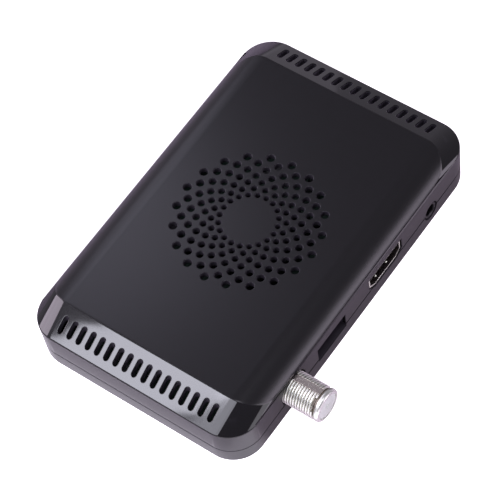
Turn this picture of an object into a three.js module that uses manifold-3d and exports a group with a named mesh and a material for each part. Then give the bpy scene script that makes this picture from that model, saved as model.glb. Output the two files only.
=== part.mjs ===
// A small satellite television receiver: a two-part moulded case around one circuit board, with its
// sockets along one long side. Millimetres, +Z up. The sockets seen in use face +X, the case's length
// runs along Y, and the feet stand at z = 0.
import * as THREE from 'three';
import { mergeGeometries, mergeVertices } from 'three/addons/utils/BufferGeometryUtils.js';
import Module from 'manifold-3d';

// Case, outside
const caseLength = 109.3;
const caseWidth = 69;
const caseHeight = 18;
const caseCornerRadius = 9;
const caseDraft = 0.2;
const baseHeight = 5.5;
const baseEdgeRadius = 0.4;
const baseDraft = 0.1;

// Top face: flat along the middle, rolled down to its long edges, with a long bevel at each short end
const rimDrop = 4.6;
const endBevelRun = 9.3;
const sideBevelRun = 0.32;
const topCornerRadius = 8;
const topEdgeDrop = 3.9;

// Case, inside
const wall = 2;
const coverSkin = 0.9;
const lipHeight = 1.4;
const floorThickness = 1.8;
const partingGap = 0.3;
const clearance = 0.3;
const overrun = 1;

// Vent ring
const ventRings = 7;
const ventsPerRing = 20;
const ventInnerRingRadius = 8;
const ventRingPitch = 2;
const ventInnerHoleRadius = 0.8;
const ventOuterHoleRadius = 1.15;

// End slots
const slotCount = 17;
const slotPitch = 3;
const slotWidth = 1.5;
const slotLength = 4.4;
const slotInset = 4.45;

// Slots in the underside
const underSlotCount = 7;
const underSlotPitch = 5;
const underSlotWidth = 2;
const underSlotLength = 26;

// Feet
const footRadius = 4;
const footStand = 0.8;
const footRecess = 0.5;
const footInsetX = 8.5;
const footInsetY = 19;

// Screws and the bosses that they hold
const bossInsetX = 6.5;
const bossInsetY = 9.15;
const bossRadius = 2.7;
const towerRadius = 3.8;
const screwHeadRadius = 2.3;
const screwHeadHeight = 1.4;
const screwShankRadius = 1.25;
const screwLength = 9;
const screwPointLength = 1.2;
const screwSink = 0.2;

// Circuit board
const boardThickness = 1.2;
const boardStandoff = 0.6;
const boardMargin = 1.3;
const boardCornerRadius = 6;

// Antenna socket: a threaded barrel on a square plate. Each socket's place is a share of half the
// case's length, and a rise share is of the case's height, from the board up.
const antennaPlaceShare = -0.559;
const antennaRiseShare = 0.25;
const antennaRadius = 4.76;
const antennaReach = 10.4;
const antennaWallGap = 0.4;
const antennaBoreRadius = 3.8;
const antennaBoreDepth = 12;
const antennaNoseLength = 1.7;
const antennaNoseRound = 0.6;
const antennaGrooveDepth = 0.5;
const antennaGrooveWidth = 0.6;
const antennaPlateThickness = 2.2;
const antennaPlateHalf = 5.1;
const antennaPlateCorner = 1.5;
const antennaPinHoleRadius = 0.5;
const contactRadius = 0.9;
const contactLength = 6;
const insulatorFace = 2;
const insulatorRecess = 0.2;

// USB socket
const usbPlaceShare = -0.2415;
const usbRise = 3.7;
const usbOpeningWidth = 12.5;
const usbOpeningHeight = 5.1;
const usbCaseOpeningHeight = 5.65;
const usbDepth = 13.5;
const usbTongueSideGap = 0.7;
const usbTongueThickness = 1.84;
const usbTongueLift = 0.9;
const usbTongueRecess = 1;
const usbBlockDepth = 3.5;

// HDMI socket
const hdmiPlaceShare = 0.2175;
const hdmiRise = 4.1;
const hdmiWidth = 14.6;
const hdmiHeight = 5.15;
const hdmiShoulderDrop = 3.6;
const hdmiFloorWidth = 9.7;
const hdmiDepth = 11;
const hdmiRecess = 0.4;
const hdmiCaseGap = 0.4;
const hdmiTongueWidth = 11.2;
const hdmiTongueThickness = 1.2;
const hdmiTongueRecess = 1;
const hdmiBlockDepth = 3;

// Stamped shells of both
const shellSheet = 0.3;
const shellLegLength = 2.5;
const shellLegInset = 1.5;

// 3.5 mm jacks
const avPlaceShare = 0.615;
const infraredPlaceShare = -0.146;
const jackRise = 1.8;
const jackSleeveRadius = 2.5;
const jackBoreRadius = 1.85;
const jackBoreDepth = 11;
const jackCaseGap = 0.4;
const jackBodyWidth = 6.4;
const jackBodyHeight = 4.8;
const jackBodyDepth = 12;
const jackRecess = 0.15;

// Power inlet
const powerPlaceShare = -0.586;
const powerRiseShare = 0.272;
const powerNoseRadius = 4.2;
const powerBoreRadius = 3.2;
const powerBoreDepth = 9;
const powerPinRadius = 1.05;
const powerPinRecess = 1.2;
const powerPinRound = 0.5;
const powerBodyWidth = 9;
const powerBodyHeightShare = 0.511;
const powerBodyDepth = 12.5;

// Standby button and its switch
const buttonPlaceShare = 0.274;
const buttonRise = 4.8;
const buttonRadius = 1.9;
const buttonReach = 0.6;
const buttonRound = 0.4;
const buttonFlangeRadius = 2.9;
const buttonFlangeThickness = 0.6;
const buttonStemRadius = 1.2;
const buttonStemLength = 2.4;
const buttonTravel = 0.5;
const plungerRadius = 0.9;
const plungerLength = 2.5;
const switchDepth = 3.6;
const switchWidth = 6.2;
const switchHeight = 6.6;

// Parts on the board
const processorSide = 14;
const processorHeight = 1.4;
const sinkShare = 0.84;
const sinkBase = 1.5;
const sinkHeight = 7;
const sinkFins = 9;
const sinkFinThickness = 1;
const tunerLengthShare = 0.71;
const tunerWidthShare = 0.311;
const tunerHeight = 5.2;
const tunerSheet = 0.4;
const tunerHoleRadius = 1;
const tunerHolePitch = 5;
const tunerHoleColumns = 3;
const tunerHoleRows = 2;
const tunerChipSide = 5;
const chipHeight = 1.6;
const chipLength = 5;
const chipWidth = 4;
const chipChamfer = 0.4;
const crystalLength = 10.6;
const crystalWidth = 4.4;
const crystalHeight = 3.2;
const inductorSide = 7.2;
const inductorHeight = 4;
const inductorChamfer = 1.4;
const capacitorRadius = 3.15;
const capacitorHeight = 7.7;
const capacitorRound = 0.5;
const capacitorNeckDepth = 0.35;
const capacitorNeckHeight = 1.2;

// Places on the board, as shares of its half width and half length
const capacitorShares = [
  ['capacitor_input', -0.34, -0.66],
  ['capacitor_core', -0.34, -0.84],
  ['capacitor_lnb', 0.3, 0.72],
];
const inductorShares = [
  ['power_inductor', -0.08, -0.5],
  ['lnb_inductor', -0.02, -0.82],
];
const chipShares = [
  ['regulator_chip', -0.42, -0.42],
  ['lnb_supply_chip', -0.04, -0.66],
  ['flash_chip', -0.3, 0.44],
];
const crystalPlaceShare = [0.12, 0.46];

// How finely round shapes are faceted
const cornerSteps = 7;
const edgeSteps = 2;
const holeSides = 8;
const slotEndSteps = 3;
const roundSides = 20;
const smallSides = 12;

// Levels and faces that follow from the sizes above
const halfWidth = caseWidth / 2;
const halfLength = caseLength / 2;
const undersideZ = footStand;
const topZ = undersideZ + caseHeight;
const rimZ = topZ - rimDrop;
const partingZ = undersideZ + baseHeight;
const floorZ = undersideZ + floorThickness;
const boardBottomZ = floorZ + boardStandoff;
const boardTopZ = boardBottomZ + boardThickness;
const partingHalfWidth = halfWidth - caseDraft;
const partingHalfLength = halfLength - caseDraft;
const innerHalfWidth = partingHalfWidth - wall;
const innerHalfLength = partingHalfLength - wall;
const innerCornerRadius = caseCornerRadius - wall;
const lipInset = coverSkin + partingGap;
const lipTopZ = partingZ + lipHeight;
const boardHalfWidth = innerHalfWidth - boardMargin;
const boardHalfLength = innerHalfLength - boardMargin;
const bossX = halfWidth - bossInsetX;
const bossY = halfLength - bossInsetY;
const seatZ = undersideZ + screwSink + screwHeadHeight;
const antennaY = antennaPlaceShare * halfLength;
const usbY = usbPlaceShare * halfLength;
const hdmiY = hdmiPlaceShare * halfLength;
const avY = avPlaceShare * halfLength;
const infraredY = infraredPlaceShare * halfLength;
const powerY = powerPlaceShare * halfLength;
const buttonY = buttonPlaceShare * halfLength;
const antennaRise = antennaRiseShare * caseHeight;
const powerRise = powerRiseShare * caseHeight;
const powerBodyHeight = powerBodyHeightShare * caseHeight;
const usbTongueWidth = usbOpeningWidth - 2 * usbTongueSideGap;
const sinkSide = sinkShare * boardHalfWidth;
const tunerLength = tunerLengthShare * boardHalfWidth;
const tunerWidth = tunerWidthShare * halfLength;
const antennaZ = boardTopZ + antennaRise;

const wasm = await Module();
wasm.setup();

// Closed geometry as a solid for cutting and joining
function solid(geometry) {
  geometry.deleteAttribute('normal');
  geometry.deleteAttribute('uv');
  const merged = mergeVertices(geometry);
  const index = merged.index.array;
  const corners = [];
  for (let i = 0; i < index.length; i += 3) {
    const [a, b, c] = [index[i], index[i + 1], index[i + 2]];
    if (a !== b && b !== c && c !== a) corners.push(a, b, c);
  }
  return new wasm.Manifold(new wasm.Mesh({
    numProp: 3,
    vertProperties: Float32Array.from(merged.attributes.position.array),
    triVerts: Uint32Array.from(corners),
  }));
}

// A named mesh of a finished solid, in its own material
function piece(name, body, finish) {
  const { vertProperties, triVerts } = body.getMesh();
  const geometry = new THREE.BufferGeometry();
  geometry.setAttribute('position', new THREE.BufferAttribute(vertProperties, 3));
  geometry.setIndex(new THREE.BufferAttribute(triVerts, 1));
  geometry.computeVertexNormals();
  const mesh = new THREE.Mesh(geometry, new THREE.MeshStandardMaterial(finish));
  mesh.name = name;
  return mesh;
}

const finishes = {
  satinBlack: { color: 0x2a2a30, roughness: 0.55, metalness: 0 },
  mauveGrey: { color: 0x5f5864, roughness: 0.45, metalness: 0 },
  nickel: { color: 0xc9c6c2, roughness: 0.25, metalness: 1 },
  brass: { color: 0xb8964e, roughness: 0.35, metalness: 1 },
  tinnedSteel: { color: 0xb9bbbd, roughness: 0.35, metalness: 1 },
  paleInsulator: { color: 0xe3e0e6, roughness: 0.5, metalness: 0 },
  blackInsulator: { color: 0x1b1b1d, roughness: 0.5, metalness: 0 },
  board: { color: 0x1f4a33, roughness: 0.6, metalness: 0 },
  blackAnodised: { color: 0x1c1c20, roughness: 0.5, metalness: 0.6 },
  chip: { color: 0x222224, roughness: 0.6, metalness: 0 },
  ferrite: { color: 0x3a3a3c, roughness: 0.8, metalness: 0 },
  capacitorCan: { color: 0xa9abb0, roughness: 0.3, metalness: 1 },
  rubber: { color: 0x1a1a1a, roughness: 0.9, metalness: 0 },
  blackSteel: { color: 0x26262a, roughness: 0.4, metalness: 0.9 },
};

// Points round a rectangle with round corners, from the +X side towards +Y
function roundedOutline(halfX, halfY, radius) {
  const points = [];
  for (let corner = 0; corner < 4; corner++) {
    const centreX = (corner === 0 || corner === 3 ? 1 : -1) * (halfX - radius);
    const centreY = (corner < 2 ? 1 : -1) * (halfY - radius);
    for (let step = 0; step <= cornerSteps; step++) {
      const angle = ((corner + step / cornerSteps) * Math.PI) / 2;
      const x = centreX + radius * Math.cos(angle);
      const y = centreY + radius * Math.sin(angle);
      points.push(new THREE.Vector2(x, y));
    }
  }
  return points;
}

// One level of a loft: an outline at a height, which may follow x
function level(outline, height) {
  return outline.map((p) => new THREE.Vector3(p.x, p.y, height(p.x)));
}

// A closed loft through levels with like points, capped in strips across X
function loft(levels) {
  const count = levels[0].length;
  const side = count / 4;
  const positions = levels.flat().flatMap((p) => [p.x, p.y, p.z]);
  const triangles = [];
  const quad = (a, b, c, d) => triangles.push(a, b, c, a, c, d);
  for (let row = 0; row < levels.length - 1; row++) {
    for (let i = 0; i < count; i++) {
      const here = row * count + i;
      const next = row * count + ((i + 1) % count);
      quad(here, next, next + count, here + count);
    }
  }
  const strip = (a, b, c, d) => {
    const top = (levels.length - 1) * count;
    quad(top + a, top + b, top + c, top + d);
    quad(d, c, b, a);
  };
  for (const [near, far] of [[0, 3], [1, 2]]) {
    for (let step = 0; step < side - 1; step++) {
      const mirrored = far * side + side - 1 - step;
      strip(near * side + step, near * side + step + 1, mirrored - 1, mirrored);
    }
  }
  strip(side - 1, side, 3 * side - 1, 3 * side);
  const geometry = new THREE.BufferGeometry();
  geometry.setAttribute('position', new THREE.Float32BufferAttribute(positions, 3));
  geometry.setIndex(triangles);
  return solid(geometry);
}

// A flat shape made solid along Z, X or Y between two places on that axis. Along X the shape is
// drawn in Y and Z, along Y in X and Z.
function extrude(shape, from, to, curveSegments = smallSides) {
  const settings = { depth: to - from, bevelEnabled: false, curveSegments };
  const geometry = new THREE.ExtrudeGeometry(shape, settings);
  return geometry.translate(0, 0, from);
}

function alongZ(shape, from, to, curveSegments) {
  return solid(extrude(shape, from, to, curveSegments));
}

function alongX(shape, from, to, curveSegments) {
  const turn = new THREE.Matrix4().makeBasis(
    new THREE.Vector3(0, 1, 0),
    new THREE.Vector3(0, 0, 1),
    new THREE.Vector3(1, 0, 0),
  );
  return solid(extrude(shape, from, to, curveSegments).applyMatrix4(turn));
}

function alongY(shape, from, to, curveSegments) {
  const turn = new THREE.Matrix4().makeBasis(
    new THREE.Vector3(1, 0, 0),
    new THREE.Vector3(0, 0, 1),
    new THREE.Vector3(0, -1, 0),
  );
  return solid(extrude(shape, -to, -from, curveSegments).applyMatrix4(turn));
}

// Shapes about a centre
function rectangle(width, height, x = 0, y = 0) {
  return new THREE.Shape([
    new THREE.Vector2(x - width / 2, y - height / 2),
    new THREE.Vector2(x + width / 2, y - height / 2),
    new THREE.Vector2(x + width / 2, y + height / 2),
    new THREE.Vector2(x - width / 2, y + height / 2),
  ]);
}

function chamferedSquare(side, chamfer) {
  const half = side / 2;
  const cut = half - chamfer;
  const points = [[half, -cut], [half, cut], [cut, half], [-cut, half]];
  const opposite = points.map(([x, y]) => [-x, -y]);
  return new THREE.Shape([...points, ...opposite].map(([x, y]) => new THREE.Vector2(x, y)));
}

function disc(radius, sides, x = 0, y = 0) {
  const points = [];
  for (let i = 0; i < sides; i++) {
    const angle = ((i + 0.5) * 2 * Math.PI) / sides;
    points.push(new THREE.Vector2(x + radius * Math.cos(angle), y + radius * Math.sin(angle)));
  }
  return new THREE.Shape(points);
}

// A slot with round ends, long in Y
function stadium(width, length, x, y) {
  const radius = width / 2;
  const reach = length / 2 - radius;
  const shape = new THREE.Shape();
  shape.absarc(x, y + reach, radius, 0, Math.PI, false);
  shape.absarc(x, y - reach, radius, Math.PI, 2 * Math.PI, false);
  return shape;
}

// A block between two corners
function block(low, high) {
  const width = high[0] - low[0];
  const depth = high[1] - low[1];
  const shape = rectangle(width, depth, (low[0] + high[0]) / 2, (low[1] + high[1]) / 2);
  return alongZ(shape, low[2], high[2]);
}

// A profile of radius and height turned about an axis
function turned(profile, sides) {
  const points = profile.map(([radius, height]) => new THREE.Vector2(radius, height));
  return new THREE.LatheGeometry(points, sides);
}

function turnedAboutZ(profile, sides = roundSides) {
  return solid(turned(profile, sides).rotateX(Math.PI / 2));
}

function turnedAboutX(profile, sides = roundSides) {
  return solid(turned(profile, sides).rotateZ(-Math.PI / 2));
}

// The four places that a piece has at the corners of the case
function fourCorners(x, y) {
  return [[x, y], [-x, y], [-x, -y], [x, -y]];
}

// Top face: flat in the middle, then one arc down to the long edges. The inner skin follows the same
// arc, one wall thickness nearer to its centre.
const topHalfWidth = halfWidth - sideBevelRun;
const topHalfLength = halfLength - endBevelRun;
const rollStart = topHalfWidth - topCornerRadius;
const rollRadius = (topCornerRadius ** 2 + topEdgeDrop ** 2) / (2 * topEdgeDrop);

function roofHeight(x, inset) {
  const run = Math.max(Math.abs(x) - rollStart, 0);
  return topZ - rollRadius + Math.sqrt((rollRadius - inset) ** 2 - run ** 2);
}

// The outside of the upper case, or with an inset, its inside
function upperCase(inset, bottomZ) {
  const endSlope = Math.atan2(rimDrop, endBevelRun);
  const bevelSag = inset / Math.cos(endSlope) - inset * Math.tan(endSlope);
  const radius = caseCornerRadius - inset;
  const topX = topHalfWidth - inset;
  const topY = topHalfLength - inset * Math.tan(endSlope / 2);
  const atParting = roundedOutline(partingHalfWidth - inset, partingHalfLength - inset, radius);
  const atRim = roundedOutline(halfWidth - inset, halfLength - inset, radius);
  const atTop = roundedOutline(topX, topY, topX - rollStart);
  return loft([
    level(atParting, () => bottomZ),
    level(atRim, () => rimZ - bevelSag),
    level(atTop, (x) => roofHeight(x, inset)),
  ]);
}

// Vent ring: the holes grow outwards and alternate rings are staggered by half a step
function ventCutters() {
  const cutters = [];
  for (let ring = 0; ring < ventRings; ring++) {
    const growth = ring / (ventRings - 1);
    const ringRadius = ventInnerRingRadius + ring * ventRingPitch;
    const holeRadius = THREE.MathUtils.lerp(ventInnerHoleRadius, ventOuterHoleRadius, growth);
    const stagger = (ring % 2) / 2;
    for (let hole = 0; hole < ventsPerRing; hole++) {
      const angle = ((hole + stagger) * 2 * Math.PI) / ventsPerRing;
      const x = ringRadius * Math.cos(angle);
      const y = ringRadius * Math.sin(angle);
      cutters.push(extrude(disc(holeRadius, holeSides, x, y), topZ - wall - overrun, topZ + overrun));
    }
  }
  return solid(mergeGeometries(cutters));
}

// Slots through both end bevels
function slotCutters() {
  const cutters = [];
  for (let i = 0; i < slotCount; i++) {
    const x = (i - (slotCount - 1) / 2) * slotPitch;
    for (const end of [1, -1]) {
      const shape = stadium(slotWidth, slotLength, x, end * (halfLength - slotInset));
      cutters.push(extrude(shape, rimZ - wall - overrun, topZ + overrun, slotEndSteps));
    }
  }
  return solid(mergeGeometries(cutters));
}

// Socket outlines in Y and Z
function hdmiOutline(gap) {
  const z = boardTopZ + hdmiRise;
  const half = hdmiWidth / 2 + gap;
  const top = z + hdmiHeight / 2 + gap;
  const shoulder = z + hdmiHeight / 2 - hdmiShoulderDrop;
  const floor = z - hdmiHeight / 2 - gap;
  const floorHalf = hdmiFloorWidth / 2 + gap;
  return new THREE.Shape([
    new THREE.Vector2(hdmiY - floorHalf, floor),
    new THREE.Vector2(hdmiY + floorHalf, floor),
    new THREE.Vector2(hdmiY + half, shoulder),
    new THREE.Vector2(hdmiY + half, top),
    new THREE.Vector2(hdmiY - half, top),
    new THREE.Vector2(hdmiY - half, shoulder),
  ]);
}

// What the sockets and the button need cut out of both halves of the case
function socketCutters() {
  const inside = boardHalfWidth - antennaPlateThickness;
  const outside = halfWidth + overrun;
  const round = (radius, y, rise) => disc(radius, roundSides, y, boardTopZ + rise);
  const usb = rectangle(usbOpeningWidth, usbCaseOpeningHeight, usbY, boardTopZ + usbRise);
  const antenna = round(antennaRadius + antennaWallGap, antennaY, antennaRise);
  const audioVideo = round(jackSleeveRadius + jackCaseGap, avY, jackRise);
  const infrared = round(jackSleeveRadius + jackCaseGap, infraredY, jackRise);
  const power = round(powerNoseRadius + jackCaseGap, powerY, powerRise);
  const button = round(buttonRadius + clearance, buttonY, buttonRise);
  return [
    ...[antenna, usb, hdmiOutline(hdmiCaseGap), audioVideo].map((s) => alongX(s, inside, outside)),
    ...[infrared, power, button].map((s) => alongX(s, -outside, -inside)),
  ];
}

function cutSockets(body) {
  return socketCutters().reduce((rest, cutter) => rest.subtract(cutter), body);
}

// Upper shell with its screw bosses, the rebate for the lower shell's lip, vents and slots
function topCover() {
  const bottomZ = partingZ + partingGap / 2;
  const outer = upperCase(0, bottomZ);
  const rebate = roundedOutline(
    partingHalfWidth - coverSkin,
    partingHalfLength - coverSkin,
    caseCornerRadius - coverSkin,
  );
  let cover = outer
    .subtract(upperCase(wall, bottomZ - overrun))
    .subtract(alongZ(new THREE.Shape(rebate), bottomZ - overrun, lipTopZ + partingGap));
  for (const [x, y] of fourCorners(bossX, bossY)) {
    const boss = alongZ(disc(bossRadius, smallSides, x, y), boardTopZ, topZ).intersect(
      upperCase(wall / 2, boardTopZ - overrun),
    );
    const pilotTop = seatZ + screwLength + overrun;
    const pilotShape = disc(screwShankRadius + clearance, smallSides, x, y);
    cover = cover.add(boss).subtract(alongZ(pilotShape, boardTopZ - overrun, pilotTop));
  }
  return cutSockets(cover.subtract(ventCutters()).subtract(slotCutters()));
}

// Lower shell: a tray with a rounded lower edge, a lip that stands inside the upper shell, towers
// that carry the board, counterbored screw holes, pockets for the feet and slots in the floor
function baseCover() {
  const topOfWall = partingZ - partingGap / 2;
  const levels = [];
  for (let step = 0; step <= edgeSteps; step++) {
    const angle = ((step / edgeSteps) * Math.PI) / 2;
    const inset = baseDraft + baseEdgeRadius * (1 - Math.sin(angle));
    const z = undersideZ + baseEdgeRadius * (1 - Math.cos(angle));
    const radius = caseCornerRadius - inset;
    const outline = roundedOutline(partingHalfWidth - inset, partingHalfLength - inset, radius);
    levels.push(level(outline, () => z));
  }
  const atParting = roundedOutline(partingHalfWidth, partingHalfLength, caseCornerRadius);
  levels.push(level(atParting, () => topOfWall));
  const lip = roundedOutline(
    partingHalfWidth - lipInset,
    partingHalfLength - lipInset,
    caseCornerRadius - lipInset,
  );
  const hollow = roundedOutline(innerHalfWidth, innerHalfLength, innerCornerRadius);
  let base = loft(levels)
    .add(alongZ(new THREE.Shape(lip), floorZ, lipTopZ))
    .subtract(alongZ(new THREE.Shape(hollow), floorZ, lipTopZ + overrun));
  for (const [x, y] of fourCorners(bossX, bossY)) {
    const headShape = disc(screwHeadRadius + clearance, smallSides, x, y);
    const shankShape = disc(screwShankRadius + clearance, smallSides, x, y);
    base = base
      .add(alongZ(disc(towerRadius, smallSides, x, y), floorZ - wall / 2, boardBottomZ))
      .subtract(alongZ(headShape, undersideZ - overrun, seatZ))
      .subtract(alongZ(shankShape, undersideZ, boardBottomZ + overrun));
  }
  for (const [x, y] of fourCorners(halfWidth - footInsetX, halfLength - footInsetY)) {
    const pocket = disc(footRadius + clearance, smallSides, x, y);
    base = base.subtract(alongZ(pocket, undersideZ - overrun, undersideZ + footRecess));
  }
  const slots = [];
  for (let i = 0; i < underSlotCount; i++) {
    const x = (i - (underSlotCount - 1) / 2) * underSlotPitch;
    const shape = stadium(underSlotWidth, underSlotLength, x, 0);
    slots.push(extrude(shape, undersideZ - overrun, floorZ + overrun, slotEndSteps));
  }
  return cutSockets(base.subtract(solid(mergeGeometries(slots))));
}

function mainBoard() {
  const outline = roundedOutline(boardHalfWidth, boardHalfLength, boardCornerRadius);
  const shape = new THREE.Shape(outline);
  for (const [x, y] of fourCorners(bossX, bossY)) {
    const hole = disc(screwShankRadius + clearance, smallSides, x, y);
    shape.holes.push(new THREE.Path(hole.getPoints().reverse()));
  }
  return alongZ(shape, boardBottomZ, boardTopZ);
}

// Self-tapping screw, its head's top at the origin and its point up
function caseScrew() {
  const profile = [
    [0, -screwHeadHeight],
    [screwHeadRadius, -screwHeadHeight],
    [screwHeadRadius, 0],
    [screwShankRadius, 0],
    [screwShankRadius, screwLength - screwPointLength],
    [0, screwLength],
  ];
  return turnedAboutZ(profile, smallSides);
}

function foot() {
  return alongZ(disc(footRadius, roundSides), 0, footStand + footRecess);
}

// Antenna socket. X runs along its axis from the plate's front face, and the plate fills the height
// between the board and the cover.
const plateFrontX = boardHalfWidth + clearance;
const barrelLength = halfWidth + antennaReach - plateFrontX;

function antennaBody() {
  const bore = barrelLength - antennaBoreDepth;
  const grooveEnd = barrelLength - antennaNoseLength;
  const grooveStart = grooveEnd - antennaGrooveWidth;
  const profile = [
    [0, -antennaPlateThickness / 2],
    [antennaRadius, -antennaPlateThickness / 2],
    [antennaRadius, grooveStart],
    [antennaRadius - antennaGrooveDepth, grooveStart],
    [antennaRadius - antennaGrooveDepth, grooveEnd],
    [antennaRadius - antennaGrooveDepth / 2, grooveEnd],
    [antennaRadius - antennaGrooveDepth / 2, barrelLength - antennaNoseRound],
    [antennaRadius - antennaNoseRound, barrelLength],
    [antennaBoreRadius, barrelLength],
    [antennaBoreRadius, bore],
    [0, bore],
  ];
  const plateTop = roofHeight(plateFrontX, wall + clearance) - antennaZ;
  const plateShape = new THREE.Shape([
    new THREE.Vector2(-antennaPlateHalf, -antennaRise),
    new THREE.Vector2(antennaPlateHalf, -antennaRise),
    new THREE.Vector2(antennaPlateHalf, plateTop - antennaPlateCorner),
    new THREE.Vector2(antennaPlateHalf - antennaPlateCorner, plateTop),
    new THREE.Vector2(antennaPlateCorner - antennaPlateHalf, plateTop),
    new THREE.Vector2(-antennaPlateHalf, plateTop - antennaPlateCorner),
  ]);
  const seatCut = block(
    [-antennaPlateThickness - overrun, -antennaPlateHalf - overrun, -antennaRise - antennaRadius],
    [0, antennaPlateHalf + overrun, -antennaRise],
  );
  const tailHole = alongX(disc(contactRadius + clearance, smallSides), -antennaPlateThickness - overrun,
    bore + overrun);
  const barrel = turnedAboutX(profile);
  const plate = alongX(plateShape, -antennaPlateThickness, 0);
  return plate.add(barrel).subtract(seatCut).subtract(tailHole);
}

function antennaInsulator() {
  const bore = barrelLength - antennaBoreDepth;
  const face = barrelLength - insulatorRecess;
  const chamber = contactRadius + clearance;
  const profile = [
    [antennaPinHoleRadius, face],
    [antennaPinHoleRadius, face - insulatorFace],
    [chamber, face - insulatorFace],
    [chamber, bore],
    [antennaBoreRadius - clearance, bore],
    [antennaBoreRadius - clearance, face],
    [antennaPinHoleRadius, face],
  ];
  return turnedAboutX(profile);
}

function antennaContact() {
  const tip = barrelLength - insulatorRecess - insulatorFace;
  const tail = -antennaPlateThickness - overrun;
  const profile = [
    [0, tail],
    [contactRadius / 2, tail],
    [contactRadius / 2, tip - contactLength],
    [contactRadius, tip - contactLength],
    [contactRadius, tip],
    [antennaPinHoleRadius, tip],
    [antennaPinHoleRadius, tip - contactLength / 2],
    [0, tip - contactLength / 2],
  ];
  return turnedAboutX(profile, smallSides);
}

// A stamped tube of sheet, open at both ends, with legs down to the board at front and back
function stampedShell(outer, inner, back, front, sides) {
  let shell = alongX(outer, back, front).subtract(alongX(inner, back - overrun, front + overrun));
  for (const [y, sign] of sides) {
    for (const x of [back + shellLegInset, innerHalfWidth - clearance - shellLegInset - shellLegLength]) {
      const low = Math.min(y, y - sign * shellSheet);
      const leg = block([x, low, boardTopZ], [x + shellLegLength, low + shellSheet, boardTopZ + hdmiRise]);
      shell = shell.add(leg);
    }
  }
  return shell;
}

const usbFrontX = innerHalfWidth - clearance;
const usbZ = boardTopZ + usbRise;

function usbShell() {
  const outerWidth = usbOpeningWidth + 2 * shellSheet;
  const outer = rectangle(outerWidth, usbOpeningHeight + 2 * shellSheet, usbY, usbZ);
  const inner = rectangle(usbOpeningWidth, usbOpeningHeight, usbY, usbZ);
  const sides = [[usbY + outerWidth / 2, 1], [usbY - outerWidth / 2, -1]];
  return stampedShell(outer, inner, usbFrontX - usbDepth, usbFrontX, sides);
}

function usbTongue() {
  const back = usbFrontX - usbDepth;
  const blockWidth = usbOpeningWidth - 2 * clearance;
  const blockHeight = usbOpeningHeight - 2 * clearance;
  const holder = alongX(rectangle(blockWidth, blockHeight, usbY, usbZ), back, back + usbBlockDepth);
  const tongueShape = rectangle(usbTongueWidth, usbTongueThickness, usbY, usbZ + usbTongueLift);
  return holder.add(alongX(tongueShape, back, usbFrontX - usbTongueRecess));
}

const hdmiFrontX = halfWidth - hdmiRecess;
const hdmiZ = boardTopZ + hdmiRise;

function hdmiShell() {
  const sides = [[hdmiY + hdmiWidth / 2, 1], [hdmiY - hdmiWidth / 2, -1]];
  return stampedShell(hdmiOutline(0), hdmiOutline(-shellSheet), hdmiFrontX - hdmiDepth, hdmiFrontX, sides);
}

function hdmiTongue() {
  const back = hdmiFrontX - hdmiDepth;
  const holder = alongX(hdmiOutline(-shellSheet - clearance), back, back + hdmiBlockDepth);
  const tongueShape = rectangle(hdmiTongueWidth, hdmiTongueThickness, hdmiY, hdmiZ);
  return holder.add(alongX(tongueShape, back, hdmiFrontX - hdmiTongueRecess));
}

// A moulded jack on the board with a round sleeve into the case wall, facing +X, at y = 0
function roundJack({ width, height, depth, rise, sleeve, bore, boreDepth }) {
  const front = partingHalfWidth - jackRecess;
  const bodyFront = boardHalfWidth;
  const z = boardTopZ + rise;
  const body = block(
    [bodyFront - depth, -width / 2, boardTopZ],
    [bodyFront, width / 2, boardTopZ + height],
  );
  return body
    .add(alongX(disc(sleeve, roundSides, 0, z), bodyFront, front))
    .subtract(alongX(disc(bore, roundSides, 0, z), front - boreDepth, front + overrun));
}

function phoneJack() {
  return roundJack({
    width: jackBodyWidth,
    height: jackBodyHeight,
    depth: jackBodyDepth,
    rise: jackRise,
    sleeve: jackSleeveRadius,
    bore: jackBoreRadius,
    boreDepth: jackBoreDepth,
  });
}

function powerJack() {
  return roundJack({
    width: powerBodyWidth,
    height: powerBodyHeight,
    depth: powerBodyDepth,
    rise: powerRise,
    sleeve: powerNoseRadius,
    bore: powerBoreRadius,
    boreDepth: powerBoreDepth,
  });
}

// Centre pin of the power inlet, standing on the bottom of its bore, facing +X, about its own axis
function powerPin() {
  const front = partingHalfWidth - jackRecess;
  const tip = front - powerPinRecess;
  const profile = [
    [0, front - powerBoreDepth],
    [powerPinRadius, front - powerBoreDepth],
    [powerPinRadius, tip - powerPinRound],
    [powerPinRadius - powerPinRound, tip],
    [0, tip],
  ];
  return turnedAboutX(profile, smallSides);
}

// Standby button, its switch's plunger and the switch, drawn facing +X about their own axis
const buttonBackX = innerHalfWidth - clearance - buttonFlangeThickness - buttonStemLength;
const switchFrontX = buttonBackX - buttonTravel - clearance;

function standbyButton() {
  const front = partingHalfWidth + buttonReach;
  const flangeFront = innerHalfWidth - clearance;
  const flangeBack = flangeFront - buttonFlangeThickness;
  const profile = [
    [0, buttonBackX],
    [buttonStemRadius, buttonBackX],
    [buttonStemRadius, flangeBack],
    [buttonFlangeRadius, flangeBack],
    [buttonFlangeRadius, flangeFront],
    [buttonRadius, flangeFront],
    [buttonRadius, front - buttonRound],
    [buttonRadius - buttonRound, front],
    [0, front],
  ];
  return turnedAboutX(profile);
}

function switchPlunger() {
  return alongX(disc(plungerRadius, smallSides), buttonBackX - plungerLength, buttonBackX);
}

function buttonSwitch() {
  const boreBack = buttonBackX - plungerLength - buttonTravel - clearance;
  const back = Math.min(switchFrontX - switchDepth, boreBack - clearance);
  const body = block(
    [back, -switchWidth / 2, -buttonRise],
    [switchFrontX, switchWidth / 2, switchHeight - buttonRise],
  );
  return body.subtract(alongX(disc(plungerRadius + clearance, smallSides), boreBack, switchFrontX + overrun));
}

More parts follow.
